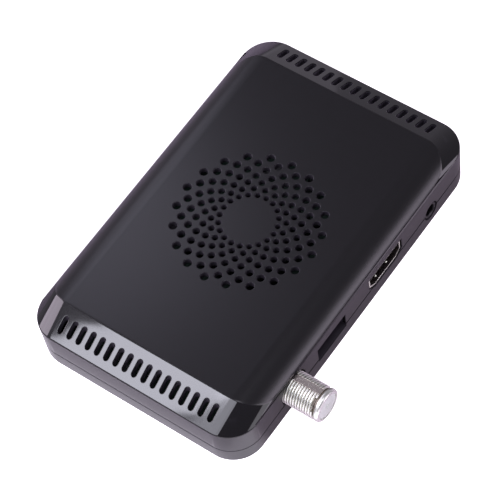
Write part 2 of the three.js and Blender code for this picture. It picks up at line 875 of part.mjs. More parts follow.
// Parts on the board, each standing on z = 0
function heatSink() {
  const pitch = (sinkSide - sinkFinThickness) / (sinkFins - 1);
  let sink = alongY(rectangle(sinkSide, sinkBase, 0, sinkBase / 2), -sinkSide / 2, sinkSide / 2);
  for (let i = 0; i < sinkFins; i++) {
    const x = (sinkFinThickness - sinkSide) / 2 + i * pitch;
    const fin = rectangle(sinkFinThickness, sinkHeight, x, sinkHeight / 2);
    sink = sink.add(alongY(fin, -sinkSide / 2, sinkSide / 2));
  }
  return sink;
}

function tunerShield() {
  const innerLength = tunerLength - 2 * tunerSheet;
  const innerWidth = tunerWidth - 2 * tunerSheet;
  let can = alongZ(rectangle(tunerLength, tunerWidth), 0, tunerHeight).subtract(
    alongZ(rectangle(innerLength, innerWidth), -overrun, tunerHeight - tunerSheet),
  );
  for (let column = 0; column < tunerHoleColumns; column++) {
    for (let row = 0; row < tunerHoleRows; row++) {
      const x = (column - (tunerHoleColumns - 1) / 2) * tunerHolePitch;
      const y = (row - (tunerHoleRows - 1) / 2) * tunerHolePitch;
      const hole = disc(tunerHoleRadius, smallSides, x, y);
      can = can.subtract(alongZ(hole, tunerHeight - tunerSheet - overrun, tunerHeight + overrun));
    }
  }
  return can;
}

function chip(length, width, height) {
  const shape = rectangle(length, width);
  const top = rectangle(length - 2 * chipChamfer, width - 2 * chipChamfer);
  return alongZ(shape, 0, height - chipChamfer).add(alongZ(top, 0, height));
}

function crystalCan() {
  return alongZ(stadium(crystalWidth, crystalLength, 0, 0), 0, crystalHeight, slotEndSteps);
}

function inductor() {
  return alongZ(chamferedSquare(inductorSide, inductorChamfer), 0, inductorHeight);
}

function capacitor() {
  const neckMiddle = 2 * capacitorNeckHeight;
  const profile = [
    [0, 0],
    [capacitorRadius, 0],
    [capacitorRadius, capacitorNeckHeight],
    [capacitorRadius - capacitorNeckDepth, (capacitorNeckHeight + neckMiddle) / 2],
    [capacitorRadius, neckMiddle],
    [capacitorRadius, capacitorHeight - capacitorRound],
    [capacitorRadius - capacitorRound, capacitorHeight],
    [0, capacitorHeight],
  ];
  return turnedAboutZ(profile, smallSides);
}

// Assembly, about the middle of the case
const assembly = new THREE.Group();

function add(mesh, x = 0, y = 0, z = 0) {
  mesh.position.set(x, y, z);
  assembly.add(mesh);
  return mesh;
}

// Parts drawn facing +X that stand on the -X side of the case
const farSide = new THREE.Group();
farSide.rotation.z = Math.PI;
assembly.add(farSide);

function addFarSide(mesh, y, z = 0) {
  mesh.position.set(0, -y, z);
  farSide.add(mesh);
}

add(piece('top_cover', topCover(), finishes.satinBlack));
add(piece('base_cover', baseCover(), finishes.mauveGrey));
add(piece('main_pcb', mainBoard(), finishes.board));

add(piece('f_connector_body', antennaBody(), finishes.nickel), plateFrontX, antennaY, antennaZ);
add(piece('f_connector_insulator', antennaInsulator(), finishes.paleInsulator), plateFrontX, antennaY,
  antennaZ);
add(piece('f_connector_contact', antennaContact(), finishes.brass), plateFrontX, antennaY, antennaZ);

add(piece('usb_shell', usbShell(), finishes.tinnedSteel));
add(piece('usb_tongue', usbTongue(), finishes.blackInsulator));
add(piece('hdmi_shell', hdmiShell(), finishes.nickel));
add(piece('hdmi_tongue', hdmiTongue(), finishes.blackInsulator));
add(piece('av_jack_body', phoneJack(), finishes.blackInsulator), 0, avY);

addFarSide(piece('ir_jack_body', phoneJack(), finishes.blackInsulator), infraredY);
addFarSide(piece('power_jack_body', powerJack(), finishes.blackInsulator), powerY);
addFarSide(piece('power_jack_pin', powerPin(), finishes.nickel), powerY, boardTopZ + powerRise);
const buttonZ = boardTopZ + buttonRise;
addFarSide(piece('standby_button', standbyButton(), finishes.mauveGrey), buttonY, buttonZ);
addFarSide(piece('switch_plunger', switchPlunger(), finishes.blackInsulator), buttonY, buttonZ);
addFarSide(piece('button_switch', buttonSwitch(), finishes.tinnedSteel), buttonY, buttonZ);

const processor = chip(processorSide, processorSide, processorHeight);
add(piece('processor_chip', processor, finishes.chip), 0, 0, boardTopZ);
add(piece('heat_sink', heatSink(), finishes.blackAnodised), 0, 0, boardTopZ + processorHeight);

const tunerX = plateFrontX - antennaPlateThickness - 2 * overrun - tunerLength / 2;
add(piece('tuner_shield', tunerShield(), finishes.tinnedSteel), tunerX, antennaY, boardTopZ);
const tunerChip = chip(tunerChipSide, tunerChipSide, chipHeight);
add(piece('tuner_chip', tunerChip, finishes.chip), tunerX, antennaY, boardTopZ);

for (const [name, shareX, shareY] of capacitorShares) {
  const can = piece(name, capacitor(), finishes.capacitorCan);
  add(can, shareX * boardHalfWidth, shareY * boardHalfLength, boardTopZ);
}
for (const [name, shareX, shareY] of inductorShares) {
  const coil = piece(name, inductor(), finishes.ferrite);
  add(coil, shareX * boardHalfWidth, shareY * boardHalfLength, boardTopZ);
}
for (const [name, shareX, shareY] of chipShares) {
  const part = piece(name, chip(chipLength, chipWidth, chipHeight), finishes.chip);
  add(part, shareX * boardHalfWidth, shareY * boardHalfLength, boardTopZ);
}
const [crystalShareX, crystalShareY] = crystalPlaceShare;
const crystal = piece('crystal_can', crystalCan(), finishes.capacitorCan);
add(crystal, crystalShareX * boardHalfWidth, crystalShareY * boardHalfLength, boardTopZ);

fourCorners(bossX, bossY).forEach(([x, y], i) => {
  add(piece(`case_screw_${i + 1}`, caseScrew(), finishes.blackSteel), x, y, seatZ);
});
fourCorners(halfWidth - footInsetX, halfLength - footInsetY).forEach(([x, y], i) => {
  add(piece(`foot_${i + 1}`, foot(), finishes.rubber), x, y);
});

// The origin is in the middle of the whole footprint, with the antenna socket and the button
const reach = halfWidth + antennaReach;
const farReach = Math.max(halfWidth, partingHalfWidth + buttonReach);
assembly.position.x = (farReach - reach) / 2;

const receiver = new THREE.Group();
receiver.add(assembly);
export default receiver;
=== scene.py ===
import math

import bmesh
import bpy
from bpy.props import FloatProperty, FloatVectorProperty, IntProperty, PointerProperty
from bpy.types import Operator, Panel, PropertyGroup
from mathutils import Matrix, Vector


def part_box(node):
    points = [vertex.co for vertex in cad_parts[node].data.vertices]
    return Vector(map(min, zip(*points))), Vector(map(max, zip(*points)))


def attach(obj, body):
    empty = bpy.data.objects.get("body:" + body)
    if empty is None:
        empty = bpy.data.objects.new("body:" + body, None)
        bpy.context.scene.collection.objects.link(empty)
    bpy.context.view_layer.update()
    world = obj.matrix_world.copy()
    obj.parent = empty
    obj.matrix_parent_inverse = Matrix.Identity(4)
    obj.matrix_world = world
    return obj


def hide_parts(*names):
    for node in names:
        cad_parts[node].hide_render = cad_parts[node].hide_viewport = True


bl_info = {
    "name": "Satellite receiver",
    "version": (1, 0, 0),
    "blender": (4, 5, 0),
    "location": "3D View > Sidebar > Receiver",
    "description": "Dresses a small satellite receiver: case, sockets, button, board and studio",
    "category": "Object",
}

MM = 0.001


def mm(*values):
    """Sizes written in millimetres, in metres."""
    return tuple(value * MM for value in values)


FIXED_BODY = "receiver"
MOVING_BODY = "standby_key"

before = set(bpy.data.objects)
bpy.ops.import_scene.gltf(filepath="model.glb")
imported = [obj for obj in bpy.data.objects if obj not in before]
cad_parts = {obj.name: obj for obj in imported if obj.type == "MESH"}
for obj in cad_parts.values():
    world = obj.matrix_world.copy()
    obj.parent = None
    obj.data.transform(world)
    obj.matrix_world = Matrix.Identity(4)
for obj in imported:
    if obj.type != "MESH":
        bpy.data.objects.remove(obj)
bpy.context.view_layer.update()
COVER_LOW, COVER_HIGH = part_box("top_cover")
BASE_LOW, BASE_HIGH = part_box("base_cover")
BOARD_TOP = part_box("main_pcb")[1].z
CASE_X = (COVER_LOW.x + COVER_HIGH.x) / 2
HALF_X = (COVER_HIGH.x - COVER_LOW.x) / 2
HALF_Y = (COVER_HIGH.y - COVER_LOW.y) / 2
SAME = 1e-6  # places closer than this, in metres, are one place
DIGITS = 7  # to which a place in metres is rounded
LEAST_DROP = 1e-7  # a corner of the roof that sinks less, in metres, stays
OVERCUT = 1 * MM  # how far a cutter stands out of what it cuts
HAIR = 0.001 * MM  # keeps the two corners of a half round end apart
NORMAL_WEIGHT = 80  # how much a large face rules the shading of its edges
SHARP_EDGE = 35  # degrees from which an edge is rounded
QUARTER_TURN = math.radians(90)
ROUND_SIDES, SMALL_SIDES, POWER_SIDES, ANTENNA_SIDES, VENT_SIDES = 48, 32, 64, 72, 20


def srgb(text):
    """A colour written as sRGB hex, as the linear values that the shaders use."""
    parts = [int(text[i : i + 2], 16) / 255 for i in (1, 3, 5)]
    return (*(c / 12.92 if c <= 0.04045 else ((c + 0.055) / 1.055) ** 2.4 for c in parts), 1.0)


def length(name, text, millimetres):
    value = millimetres * MM
    kind = {"subtype": "DISTANCE", "unit": "LENGTH"}
    return FloatProperty(name=name, description=text, default=value, min=0.0, **kind)


def count(name, text, value):
    return IntProperty(name=name, description=text, default=value, min=1)


def colour(name, text, value):
    limits = {"size": 4, "min": 0.0, "max": 1.0, "subtype": "COLOR"}
    return FloatVectorProperty(name=name, description=text, default=srgb(value), **limits)


class ReceiverSizes(PropertyGroup):
    """Sizes of the case and its openings."""

    rim_drop: length("Rim drop", "From the flat top down to the rim", 4.6)
    end_run: length("End bevel", "How far the bevel at each short end reaches in", 9.3)
    side_run: length("Side bevel", "How far the bevel along each long side reaches in", 0.32)
    corner: length("Case corner", "Radius of the case's upright corners", 9.0)
    top_corner: length("Top corner", "Radius of the top face's corners", 8.0)
    edge_drop: length("Edge drop", "How far the top rolls down towards its long edges", 3.9)
    draft: length("Draft", "How much narrower the case is at the parting line", 0.1)
    wall: length("Wall", "Thickness of the moulding", 2.0)
    edge_round: length("Edge round", "Radius of the moulding's outer edges", 0.3)
    base_round: length("Base round", "Radius of the underside's edge", 0.4)
    lip_round: length("Lip round", "Rounding round vents, slots and sockets", 0.2)
    vent_inner: length("Inner vent", "Radius of the holes in the smallest ring", 0.8)
    vent_outer: length("Outer vent", "Radius of the holes in the largest ring", 1.15)
    vent_start: length("First ring", "Radius of the smallest ring", 8.0)
    vent_pitch: length("Ring pitch", "From ring to ring", 2.0)
    vent_rings: count("Rings", "Rings of vent holes", 7)
    vents_per_ring: count("Holes", "Holes in each ring", 20)
    slots: count("Slots", "Slots in each end bevel", 17)
    slot_pitch: length("Slot pitch", "From slot to slot", 3.0)
    slot_width: length("Slot width", "Width of a slot", 1.5)
    slot_length: length("Slot length", "Length of a slot, seen from above", 4.4)
    slot_inset: length("Slot inset", "From the case's end to the middle of a slot", 4.45)
    thread_pitch: length("Thread pitch", "Antenna socket's thread, 32 to the inch", 0.794)
    thread_depth: length("Thread depth", "Depth of that thread", 0.48)


class ReceiverColours(PropertyGroup):
    """Colours of the moulded and plated finishes."""

    cover: colour("Cover", "Black ABS of the case", "#100f12")
    nickel: colour("Nickel", "Nickel plate of the sockets", "#f4f6ee")
    steel: colour("Tinned steel", "Stamped and tinned shells", "#b4b3b2")
    insulator: colour("Insulator", "Disc in the end of the antenna socket", "#ecf2ea")
    rubber: colour("Rubber", "Stick-on feet", "#141414")
    board: colour("Board", "Solder resist", "#0b1511")
    floor: colour("Floor", "Studio floor", "#ffffff")


# Selection and modelling


def alone(obj):
    """Makes obj the only selected object, and the active one."""
    bpy.ops.object.select_all(action="DESELECT")
    obj.select_set(True)
    bpy.context.view_layer.objects.active = obj
    return obj


def settled():
    """Moves the place, turn and scale of what is selected into its mesh."""
    bpy.ops.object.transform_apply(location=True, rotation=True, scale=True)


def added(operator, scale=(1, 1, 1), **settings):
    """Runs an operator that adds a primitive, and returns it with its place in its mesh."""
    bpy.ops.object.select_all(action="DESELECT")
    operator(**settings)
    obj = bpy.context.object
    obj.scale = scale
    settled()
    return obj


def copied(obj, place):
    """A copy with its own mesh, moved to a place."""
    copy = obj.copy()
    copy.data = obj.data.copy()
    bpy.context.collection.objects.link(copy)
    copy.location = place
    return copy


def edit(obj, everything=False):
    """Opens a piece in edit mode, with all of it selected where that is wanted."""
    alone(obj)
    bpy.ops.object.mode_set(mode="EDIT")
    if everything:
        bpy.ops.mesh.select_all(action="SELECT")


def done():
    bpy.ops.object.mode_set(mode="OBJECT")


def pick(obj, kind, test):
    """In edit mode, selects only the vertices, edges or faces that pass a test."""
    bpy.ops.mesh.select_mode(type=kind)
    bpy.ops.mesh.select_all(action="DESELECT")
    mesh = bmesh.from_edit_mesh(obj.data)
    mesh.normal_update()
    for part in {"VERT": mesh.verts, "EDGE": mesh.edges, "FACE": mesh.faces}[kind]:
        if test(part):
            part.select_set(True)
    bmesh.update_edit_mesh(obj.data)


def joined(objects):
    """Joins pieces into the first of them."""
    alone(objects[0])
    for obj in objects:
        obj.select_set(True)
    if len(objects) > 1:
        bpy.ops.object.join()
    return objects[0]


def placed(objects):
    """Moves every object's place into its mesh and joins them."""
    alone(objects[0])
    for obj in objects:
        obj.select_set(True)
    settled()
    return joined(objects)


def modified(obj, kind, **settings):
    """Adds a modifier and applies it."""
    alone(obj)
    modifier = obj.modifiers.new(kind.title(), kind)
    for name, value in settings.items():
        setattr(modifier, name, value)
    bpy.ops.object.modifier_apply(modifier=modifier.name)
    return obj


def combined(obj, other, operation="DIFFERENCE"):
    """Cuts other out of obj, or adds it to obj, and removes it."""
    modified(obj, "BOOLEAN", object=other, operation=operation, solver="EXACT")
    bpy.data.objects.remove(other)
    return obj


def smoothed(obj, degrees):
    """Rounds the shading across shallow edges and keeps large faces flat."""
    alone(obj)
    bpy.ops.object.shade_smooth_by_angle(angle=math.radians(degrees))
    return modified(obj, "WEIGHTED_NORMAL", keep_sharp=True, weight=NORMAL_WEIGHT)


def eased(obj, width, degrees=SHARP_EDGE, steps=2):
    """Rounds the sharper edges."""
    settings = {"width": width, "segments": steps, "angle_limit": math.radians(degrees)}
    return modified(obj, "BEVEL", limit_method="ANGLE", use_clamp_overlap=True, **settings)


def box(low, high):
    """A block between two corners."""
    low, high = Vector(low), Vector(high)
    place = {"location": (low + high) / 2, "scale": high - low}
    return added(bpy.ops.mesh.primitive_cube_add, size=1, **place)


def bar(x_ends, y, half_y, z_ends, round_width=0.0):
    """A block between two places along X, centred across Y, with its edges rounded."""
    low, high = zip(x_ends, (y - half_y, y + half_y), z_ends)
    made = box(low, high)
    return eased(made, round_width) if round_width else made


def cylinder_x(radius, y, z, ends, sides=ROUND_SIDES):
    """A cylinder along X between two places."""
    return added(
        bpy.ops.mesh.primitive_cylinder_add,
        vertices=sides,
        radius=radius,
        depth=ends[1] - ends[0],
        location=((ends[0] + ends[1]) / 2, y, z),
        rotation=(0, QUARTER_TURN, 0),
    )


def rounded_plate(half_x, half_y, radius, z, steps, x=0.0, y=0.0):
    """A flat face with round corners."""
    place = {"location": (x, y, z), "scale": (2 * half_x, 2 * half_y, 1)}
    plate = added(bpy.ops.mesh.primitive_plane_add, size=1, **place)
    edit(plate, True)
    bpy.ops.mesh.bevel(offset=radius, segments=steps, affect="VERTICES")
    done()
    return plate


def raised(plate, height):
    """Extrudes a flat face upwards into a closed block."""
    edit(plate, True)
    bpy.ops.mesh.extrude_region_move(TRANSFORM_OT_translate={"value": (0, 0, height)})
    return tidy_normals(plate)


def bridged(outlines):
    """Joins flat faces, opens them and bridges their outlines into a wall. Edit mode goes on."""
    form = joined(outlines)
    edit(form)
    for mode in ("FACE", "EDGE"):
        bpy.ops.mesh.select_mode(type=mode)
        bpy.ops.mesh.select_all(action="SELECT")
        if mode == "FACE":
            bpy.ops.mesh.delete(type="ONLY_FACE")
    bpy.ops.mesh.bridge_edge_loops(type="SINGLE")
    return form


def tidy_normals(obj):
    """Turns every face outwards and leaves edit mode."""
    if obj.mode != "EDIT":
        edit(obj)
    bpy.ops.mesh.select_all(action="SELECT")
    bpy.ops.mesh.normals_make_consistent(inside=False)
    done()
    return obj


def outline(points, radius=0.0, start=0.0):
    """A profile written in millimetres from a radius and a place along the axis, in metres."""
    return [(radius + out * MM, start + along * MM) for out, along in points]


def turned(profile, sides, place=(0, 0, 0), along="Z", back=False):
    """A ring extruded and resized along an axis, as on a lathe, then filled at both ends. The
    profile gives radius and height, from the outside of one end to the inside of the other."""
    obj = added(
        bpy.ops.mesh.primitive_circle_add,
        vertices=sides,
        radius=profile[0][0],
        location=(0, 0, profile[0][1]),
        fill_type="NGON",
    )
    edit(obj, True)
    for (radius, height), (next_radius, next_height) in zip(profile, profile[1:]):
        step = (0, 0, next_height - height)
        bpy.ops.mesh.extrude_region_move(TRANSFORM_OT_translate={"value": step})
        share = next_radius / radius
        bpy.ops.transform.resize(value=(share, share, 1), center_override=(0, 0, next_height))
    tidy_normals(obj)
    if along == "X":
        obj.rotation_euler = (0, -QUARTER_TURN if back else QUARTER_TURN, 0)
    obj.location = place
    settled()
    return obj


def painted(obj, *names):
    """Gives a piece its finishes, in the order of its material numbers."""
    for name in names:
        obj.data.materials.append(finishes()[name])
    return obj


def dressed(obj, name, nodes=(), body=FIXED_BODY):
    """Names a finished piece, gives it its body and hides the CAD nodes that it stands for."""
    obj.name = name
    obj.data.name = name
    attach(obj, body)
    if nodes:
        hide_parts(*nodes)
    return obj


def centre_of(node):
    low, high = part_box(node)
    return (low + high) / 2


# Materials


def add_node(tree, kind, values=None, links=None, **settings):
    """Adds a shader node with its settings, its input values and the sockets that feed it."""
    made = tree.nodes.new(kind)
    for name, value in settings.items():
        setattr(made, name, value)
    for socket, value in (values or {}).items():
        made.inputs[socket].default_value = value
    for socket, source in (links or {}).items():
        tree.links.new(source, made.inputs[socket])
    return made


def new_material(name):
    """An empty material with its object coordinates and its principled shader."""
    material = bpy.data.materials.new(name)
    material.use_nodes = True
    tree = material.node_tree
    tree.nodes.clear()
    place = add_node(tree, "ShaderNodeTexCoord").outputs["Object"]
    shader = add_node(tree, "ShaderNodeBsdfPrincipled")
    add_node(tree, "ShaderNodeOutputMaterial", links={"Surface": shader.outputs["BSDF"]})
    return material, tree, place, shader


CLOUD_GRAINS = 6  # grains across one patch of slightly lighter or darker colour
ABS_IOR = 1.52
SIDE_IOR = 1.46  # a drawn, slightly open surface mirrors less
SHADE_IOR = 1.15  # almost no mirror, as painted shade in the deep side openings
METAL_IOR = 1.5  # the shader's own default
METAL_SPREAD, METAL_VARIES = 0.05, 0.3  # of its colour, and of its roughness as a share
MATT = 0.9
MIX_A, MIX_B, MIX_RESULT = 6, 7, 2  # the colour sockets of a mix node


def per_metre(millimetres):
    """Texture scale whose features are about this size."""
    return 1 / (millimetres * MM)


def moulded(name, base, roughness, grain_mm, bump_mm, spread=0.12, rough_spread=0.06, ior=ABS_IOR):
    """Moulded plastic: a colour that is a little lighter and darker in patches, a grain with its
    own roughness, and the tool's relief. The colour is sRGB hex, or linear from the panel."""
    material, tree, place, shader = new_material(name)
    base = srgb(base) if isinstance(base, str) else tuple(base)
    clouds, fine = [
        add_node(tree, "ShaderNodeTexNoise", {"Scale": scale, "Detail": 2.0}, {"Vector": place})
        for scale in (per_metre(grain_mm * CLOUD_GRAINS), per_metre(grain_mm))
    ]
    low = tuple(c * (1 - spread) for c in base[:3]) + (1.0,)
    high = tuple(min(1.0, c * (1 + spread)) for c in base[:3]) + (1.0,)
    share = {"Factor": clouds.outputs["Fac"]}
    tones = {MIX_A: low, MIX_B: high}
    tone = add_node(tree, "ShaderNodeMix", tones, share, data_type="RGBA")
    span = {"To Min": roughness - rough_spread, "To Max": roughness + rough_spread}
    rough = add_node(tree, "ShaderNodeMapRange", span, {"Value": fine.outputs["Fac"]})
    relief = {"Strength": 1.0, "Distance": bump_mm * MM}
    bump = add_node(tree, "ShaderNodeBump", relief, {"Height": fine.outputs["Fac"]})
    tree.links.new(tone.outputs[MIX_RESULT], shader.inputs["Base Color"])
    tree.links.new(rough.outputs["Result"], shader.inputs["Roughness"])
    tree.links.new(bump.outputs["Normal"], shader.inputs["Normal"])
    shader.inputs["IOR"].default_value = ior
    return material


def plated(name, base, roughness, grain_mm, bump_mm):
    """Plated or bare metal with the fine relief of how it was made."""
    varies = roughness * METAL_VARIES
    material = moulded(name, base, roughness, grain_mm, bump_mm, METAL_SPREAD, varies, METAL_IOR)
    shader = next(n for n in material.node_tree.nodes if n.type == "BSDF_PRINCIPLED")
    shader.inputs["Metallic"].default_value = 1.0
    return material


def glowing(name, hue, strength):
    """Matt paper or cloth of the studio, with light of its own."""
    material, tree, place, shader = new_material(name)
    shader.inputs["Base Color"].default_value = hue
    shader.inputs["Roughness"].default_value = MATT
    shader.inputs["Emission Color"].default_value = hue
    shader.inputs["Emission Strength"].default_value = strength
    return material, tree, place, shader


FINISHES = {}


def finishes():
    """Every material of the receiver, made once. After the name come the colour, the roughness, the
    grain and the relief in millimetres, and the spread of the colour."""
    if FINISHES:
        return FINISHES
    hues = bpy.context.scene.receiver_colours
    black = hues.cover
    FINISHES.update(
        # Black ABS from a fine spark-eroded tool: soft, slightly milky highlights on the top face
        satin_top=moulded("satin_abs_spark_eroded", black, 0.3, 0.5, 0.0015, rough_spread=0.03),
        # The same ABS from a polished part of the tool: nearly a mirror, with slow waves
        gloss_bevel=moulded("gloss_abs_polished", black, 0.045, 7.0, 0.003, 0.05, 0.015),
        # Side walls, drawn from the tool with a finer texture than the top
        satin_wall=moulded("satin_abs_side_wall", black, 0.38, 0.5, 0.003, 0.12, 0.04, SIDE_IOR),
        # Inside of the moulding, never polished: a matt black painted paler than the ABS is, as
        # painted light in the vents and slots
        inner_wall=moulded("abs_inside_painted_light", "#343039", 0.6, 0.8, 0.01),
        # The same in the side openings, painted nearly black and barely mirroring: painted shade
        # where no light gets in
        opening_wall=moulded("abs_side_opening_painted_shade", "#0b0b0d", 0.6, 0.8, 0.01, ior=SHADE_IOR),
        # Bright nickel over die-cast zinc: soft highlights broken up by the casting's dimples
        nickel=plated("nickel_plated_zinc", hues.nickel, 0.38, 0.5, 0.02),
        # The flat left by the die, never cut: grainy, with bright specks
        cast=plated("die_cast_zinc_flat", "#f0e8e0", 0.25, 0.4, 0.1),
        # The thread's root and run-out groove, painted a dull brown-grey darker than the nickel:
        # painted shade in the valleys
        zinc=plated("thin_nickel_over_zinc", "#8a8178", 0.5, 0.4, 0.01),
        # Tin over stamped steel: duller, faint rolling grain
        steel=plated("tinned_stamped_steel", hues.steel, 0.3, 0.3, 0.003),
        # Plate painted near white, brighter than the tinned steel: painted highlight on the
        # brightest, thinnest lines of the sockets
        edge=plated("plate_painted_highlight", "#f6ffea", 0.3, 0.3, 0.003),
        # The same plate painted dark deep in a socket: painted shade where light seldom gets in
        shaded=plated("plate_painted_shade", "#625c5a", 0.42, 0.3, 0.003),
        # Gold flash over phosphor bronze: warm, fairly sharp glints
        gold=plated("gold_flashed_contact", "#d8b25a", 0.22, 0.3, 0.002),
        # Turned polyethylene, milky and slightly waxy
        pale=moulded("turned_polyethylene", hues.insulator, 0.42, 0.6, 0.004, 0.03),
        # Glass-filled nylon of sockets and jacks: dull, with a faint grain
        nylon=moulded("moulded_nylon", "#1f1d20", 0.45, 0.5, 0.006),
        # Die-cut rubber: matt, no highlight
        rubber=moulded("die_cut_rubber", hues.rubber, 0.85, 0.6, 0.02),
        # Solder resist over glass laminate: dark green with a soft sheen
        board=moulded("solder_resist", hues.board, 0.4, 1.2, 0.01),
        # Moulded epoxy of chips: matt, slightly grainy
        epoxy=moulded("moulded_epoxy", "#1a1a1c", 0.55, 0.3, 0.008),
        # Black anodised aluminium of the heat sink: dark, metallic only along its edges
        anodised=plated("anodised_aluminium", "#19191c", 0.5, 0.5, 0.01),
        # Sintered ferrite: dry and dark grey
        ferrite=moulded("sintered_ferrite", "#333335", 0.8, 0.3, 0.02),
        # Drawn aluminium cans: bright, soft highlights
        can=plated("drawn_aluminium_can", "#aaacb0", 0.3, 0.5, 0.004),
        # Black zinc over screw steel: a dark, oily shine
        screw=plated("black_zinc_steel", "#2b2b2f", 0.38, 0.3, 0.006),
    )
    return FINISHES


# Case

LIP_RISE = 1.4 * MM  # of the base's lip above the parting line
PARTING = BASE_HIGH.z - LIP_RISE
PARTING_GAP = 0.3 * MM
COVER_BOTTOM = PARTING + PARTING_GAP / 2
BASE_TOP = PARTING - PARTING_GAP / 2
REBATE_INSET, REBATE_RISE = mm(0.9, 1.55)  # the cover's rebate, in which the lip stands
LIP_INSET = 1.2 * MM
BASE_DRAFT = 0.1 * MM
FLOOR_TOP = BASE_LOW.z + 1.8 * MM
OUTER_STEPS, INNER_STEPS, EDGE_STEPS, RIM_STEPS = 16, 8, 3, 2  # facets of a quarter round
SHARP_RIM = math.radians(50)
MOULDED_ANGLE, FOLDED_ANGLE, TURNED_ANGLE = 35, 40, 50  # degrees up to which shading runs on
SKIN_NEAR = 2e-5  # how near the outer skin a corner of a facet lies, in metres

# Openings in the long sides
ANTENNA_HOLE, JACK_HOLE, POWER_HOLE, BUTTON_HOLE = mm(5.16, 2.9, 4.6, 2.2)
HOLE_REACH = 2 * MM  # past the wall on the sockets' side
USB_HALF = Vector((6.25, 2.825)) * MM  # half of the opening
JACK_RISE = 1.8 * MM  # from the board up to the middle of a 3.5 mm jack
HDMI_SHOULDER = 3.6 * MM  # from the shell's top down to where it narrows
HDMI_HEIGHT, HDMI_FLOOR = mm(5.15, 9.7)  # the shell's height, and the width of its floor
HDMI_GAP = 0.4 * MM
SLOT_CUT = 9 * MM  # depth of the end slots' cutters

# Below: towers, screw wells, foot pockets and slots
TOWER_RADIUS, TOWER_TOP = mm(3.8, 3.2)
WELL_RADIUS, WELL_SHANK, WELL_TOP = mm(2.6, 1.55, 5)
SCREW_HEAD = 1.4 * MM
FOOT_POCKET, FOOT_DEPTH = mm(4.3, 0.5)
CORNERS = (1, 2, 3, 4)  # numbers of the screws and of the feet
UNDER_SLOTS, UNDER_PITCH, UNDER_HALF = 7, 5 * MM, (1 * MM, 13 * MM)
UNDER_CUT = 4 * MM
HOLLOW_CUT = 8 * MM

# Which facets take which finish
SKIN_DEPTH, BASE_SKIN = mm(0.6, 1.1)  # facets this near the outside are outer wall
UNDERSIDE_SKIN = 0.1 * MM
ROLL_DEPTH = 0.25 * MM  # satin goes on down the vents' rims this far
GLOSS_DROP = 0.05 * MM  # and gloss this far below the rim
WALL_SPARE = 0.3 * MM
STEEP, LEVEL, STRAIGHT = 0.3, 0.4, 0.999  # how much of a normal or edge runs along an axis


def roof(x, inset=0.0):
    """Height of the top face at a distance from the case's middle."""
    s = bpy.context.scene.receiver_sizes
    radius = (s.top_corner**2 + s.edge_drop**2) / (2 * s.edge_drop)
    run = max(abs(x) - (HALF_X - s.side_run - s.top_corner), 0.0)
    return COVER_HIGH.z - radius + math.sqrt((radius - inset) ** 2 - run**2)


def on_level(level):
    """A test for the edges that lie at a height."""
    return lambda edge: all(abs(v.co.z - level) < SAME for v in edge.verts)


def case_form(inset, bottom, steps):
    """The outside of the upper case, or with an inset its inside: three outlines bridged, then the
    top face cut into strips and each strip lowered onto the rolled edge."""
    s = bpy.context.scene.receiver_sizes
    slope = math.atan2(s.rim_drop, s.end_run)
    rim = COVER_HIGH.z - s.rim_drop - inset / math.cos(slope) + inset * math.tan(slope)
    top = COVER_HIGH.z - inset
    top_x = HALF_X - s.side_run - inset
    top_y = HALF_Y - s.end_run - inset * math.tan(slope / 2)
    top_radius = s.top_corner - inset
    low_x, low_y = HALF_X - s.draft - inset, HALF_Y - s.draft - inset
    form = bridged(
        [
            rounded_plate(low_x, low_y, s.corner - inset, bottom, steps),
            rounded_plate(HALF_X - inset, HALF_Y - inset, s.corner - inset, rim, steps),
            rounded_plate(top_x, top_y, top_radius, top, steps),
        ]
    )
    for level in (rim, top):
        pick(form, "EDGE", on_level(level))
        bpy.ops.mesh.mark_seam()
    for level in (bottom, top):
        pick(form, "EDGE", on_level(level))
        bpy.ops.mesh.edge_face_add()
    bpy.ops.mesh.select_all(action="SELECT")
    bpy.ops.mesh.normals_make_consistent(inside=False)
    mesh = bmesh.from_edit_mesh(form.data)
    columns = sorted({round(v.co.x, DIGITS) for v in mesh.verts if abs(v.co.z - top) < SAME})

    def on_top(face):
        return face.normal.z > STRAIGHT and abs(face.calc_center_median().z - top) < SAME

    for x in columns[1:-1]:
        pick(form, "FACE", on_top)
        bpy.ops.mesh.bisect(plane_co=(x, 0, 0), plane_no=(1, 0, 0), threshold=SAME)
    for x in columns:
        drop = top - roof(x, inset)
        if drop > LEAST_DROP:
            pick(form, "VERT", lambda v: abs(v.co.z - top) < SAME and abs(v.co.x - x) < SAME)
            bpy.ops.transform.translate(value=(0, 0, -drop))
    done()
    form.location.x = CASE_X
    settled()
    return form


def hdmi_prism(gap, ends):
    """The socket's outline, wide above and narrow below, as a prism along X."""
    low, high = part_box("hdmi_shell")
    shoulder = high.z - HDMI_SHOULDER
    bottom = high.z - HDMI_HEIGHT
    prism = box((ends[0], low.y - gap, bottom - gap), (ends[1], high.y + gap, high.z + gap))
    edit(prism, True)
    bpy.ops.mesh.bisect(plane_co=(0, 0, shoulder), plane_no=(0, 0, 1))
    pick(prism, "VERT", lambda v: v.co.z < shoulder - SAME)
    share = (HDMI_FLOOR + 2 * gap) / (high.y - low.y + 2 * gap)
    middle = (sum(ends) / 2, (low.y + high.y) / 2, bottom)
    bpy.ops.transform.resize(value=(1, share, 1), center_override=middle)
    done()
    return prism


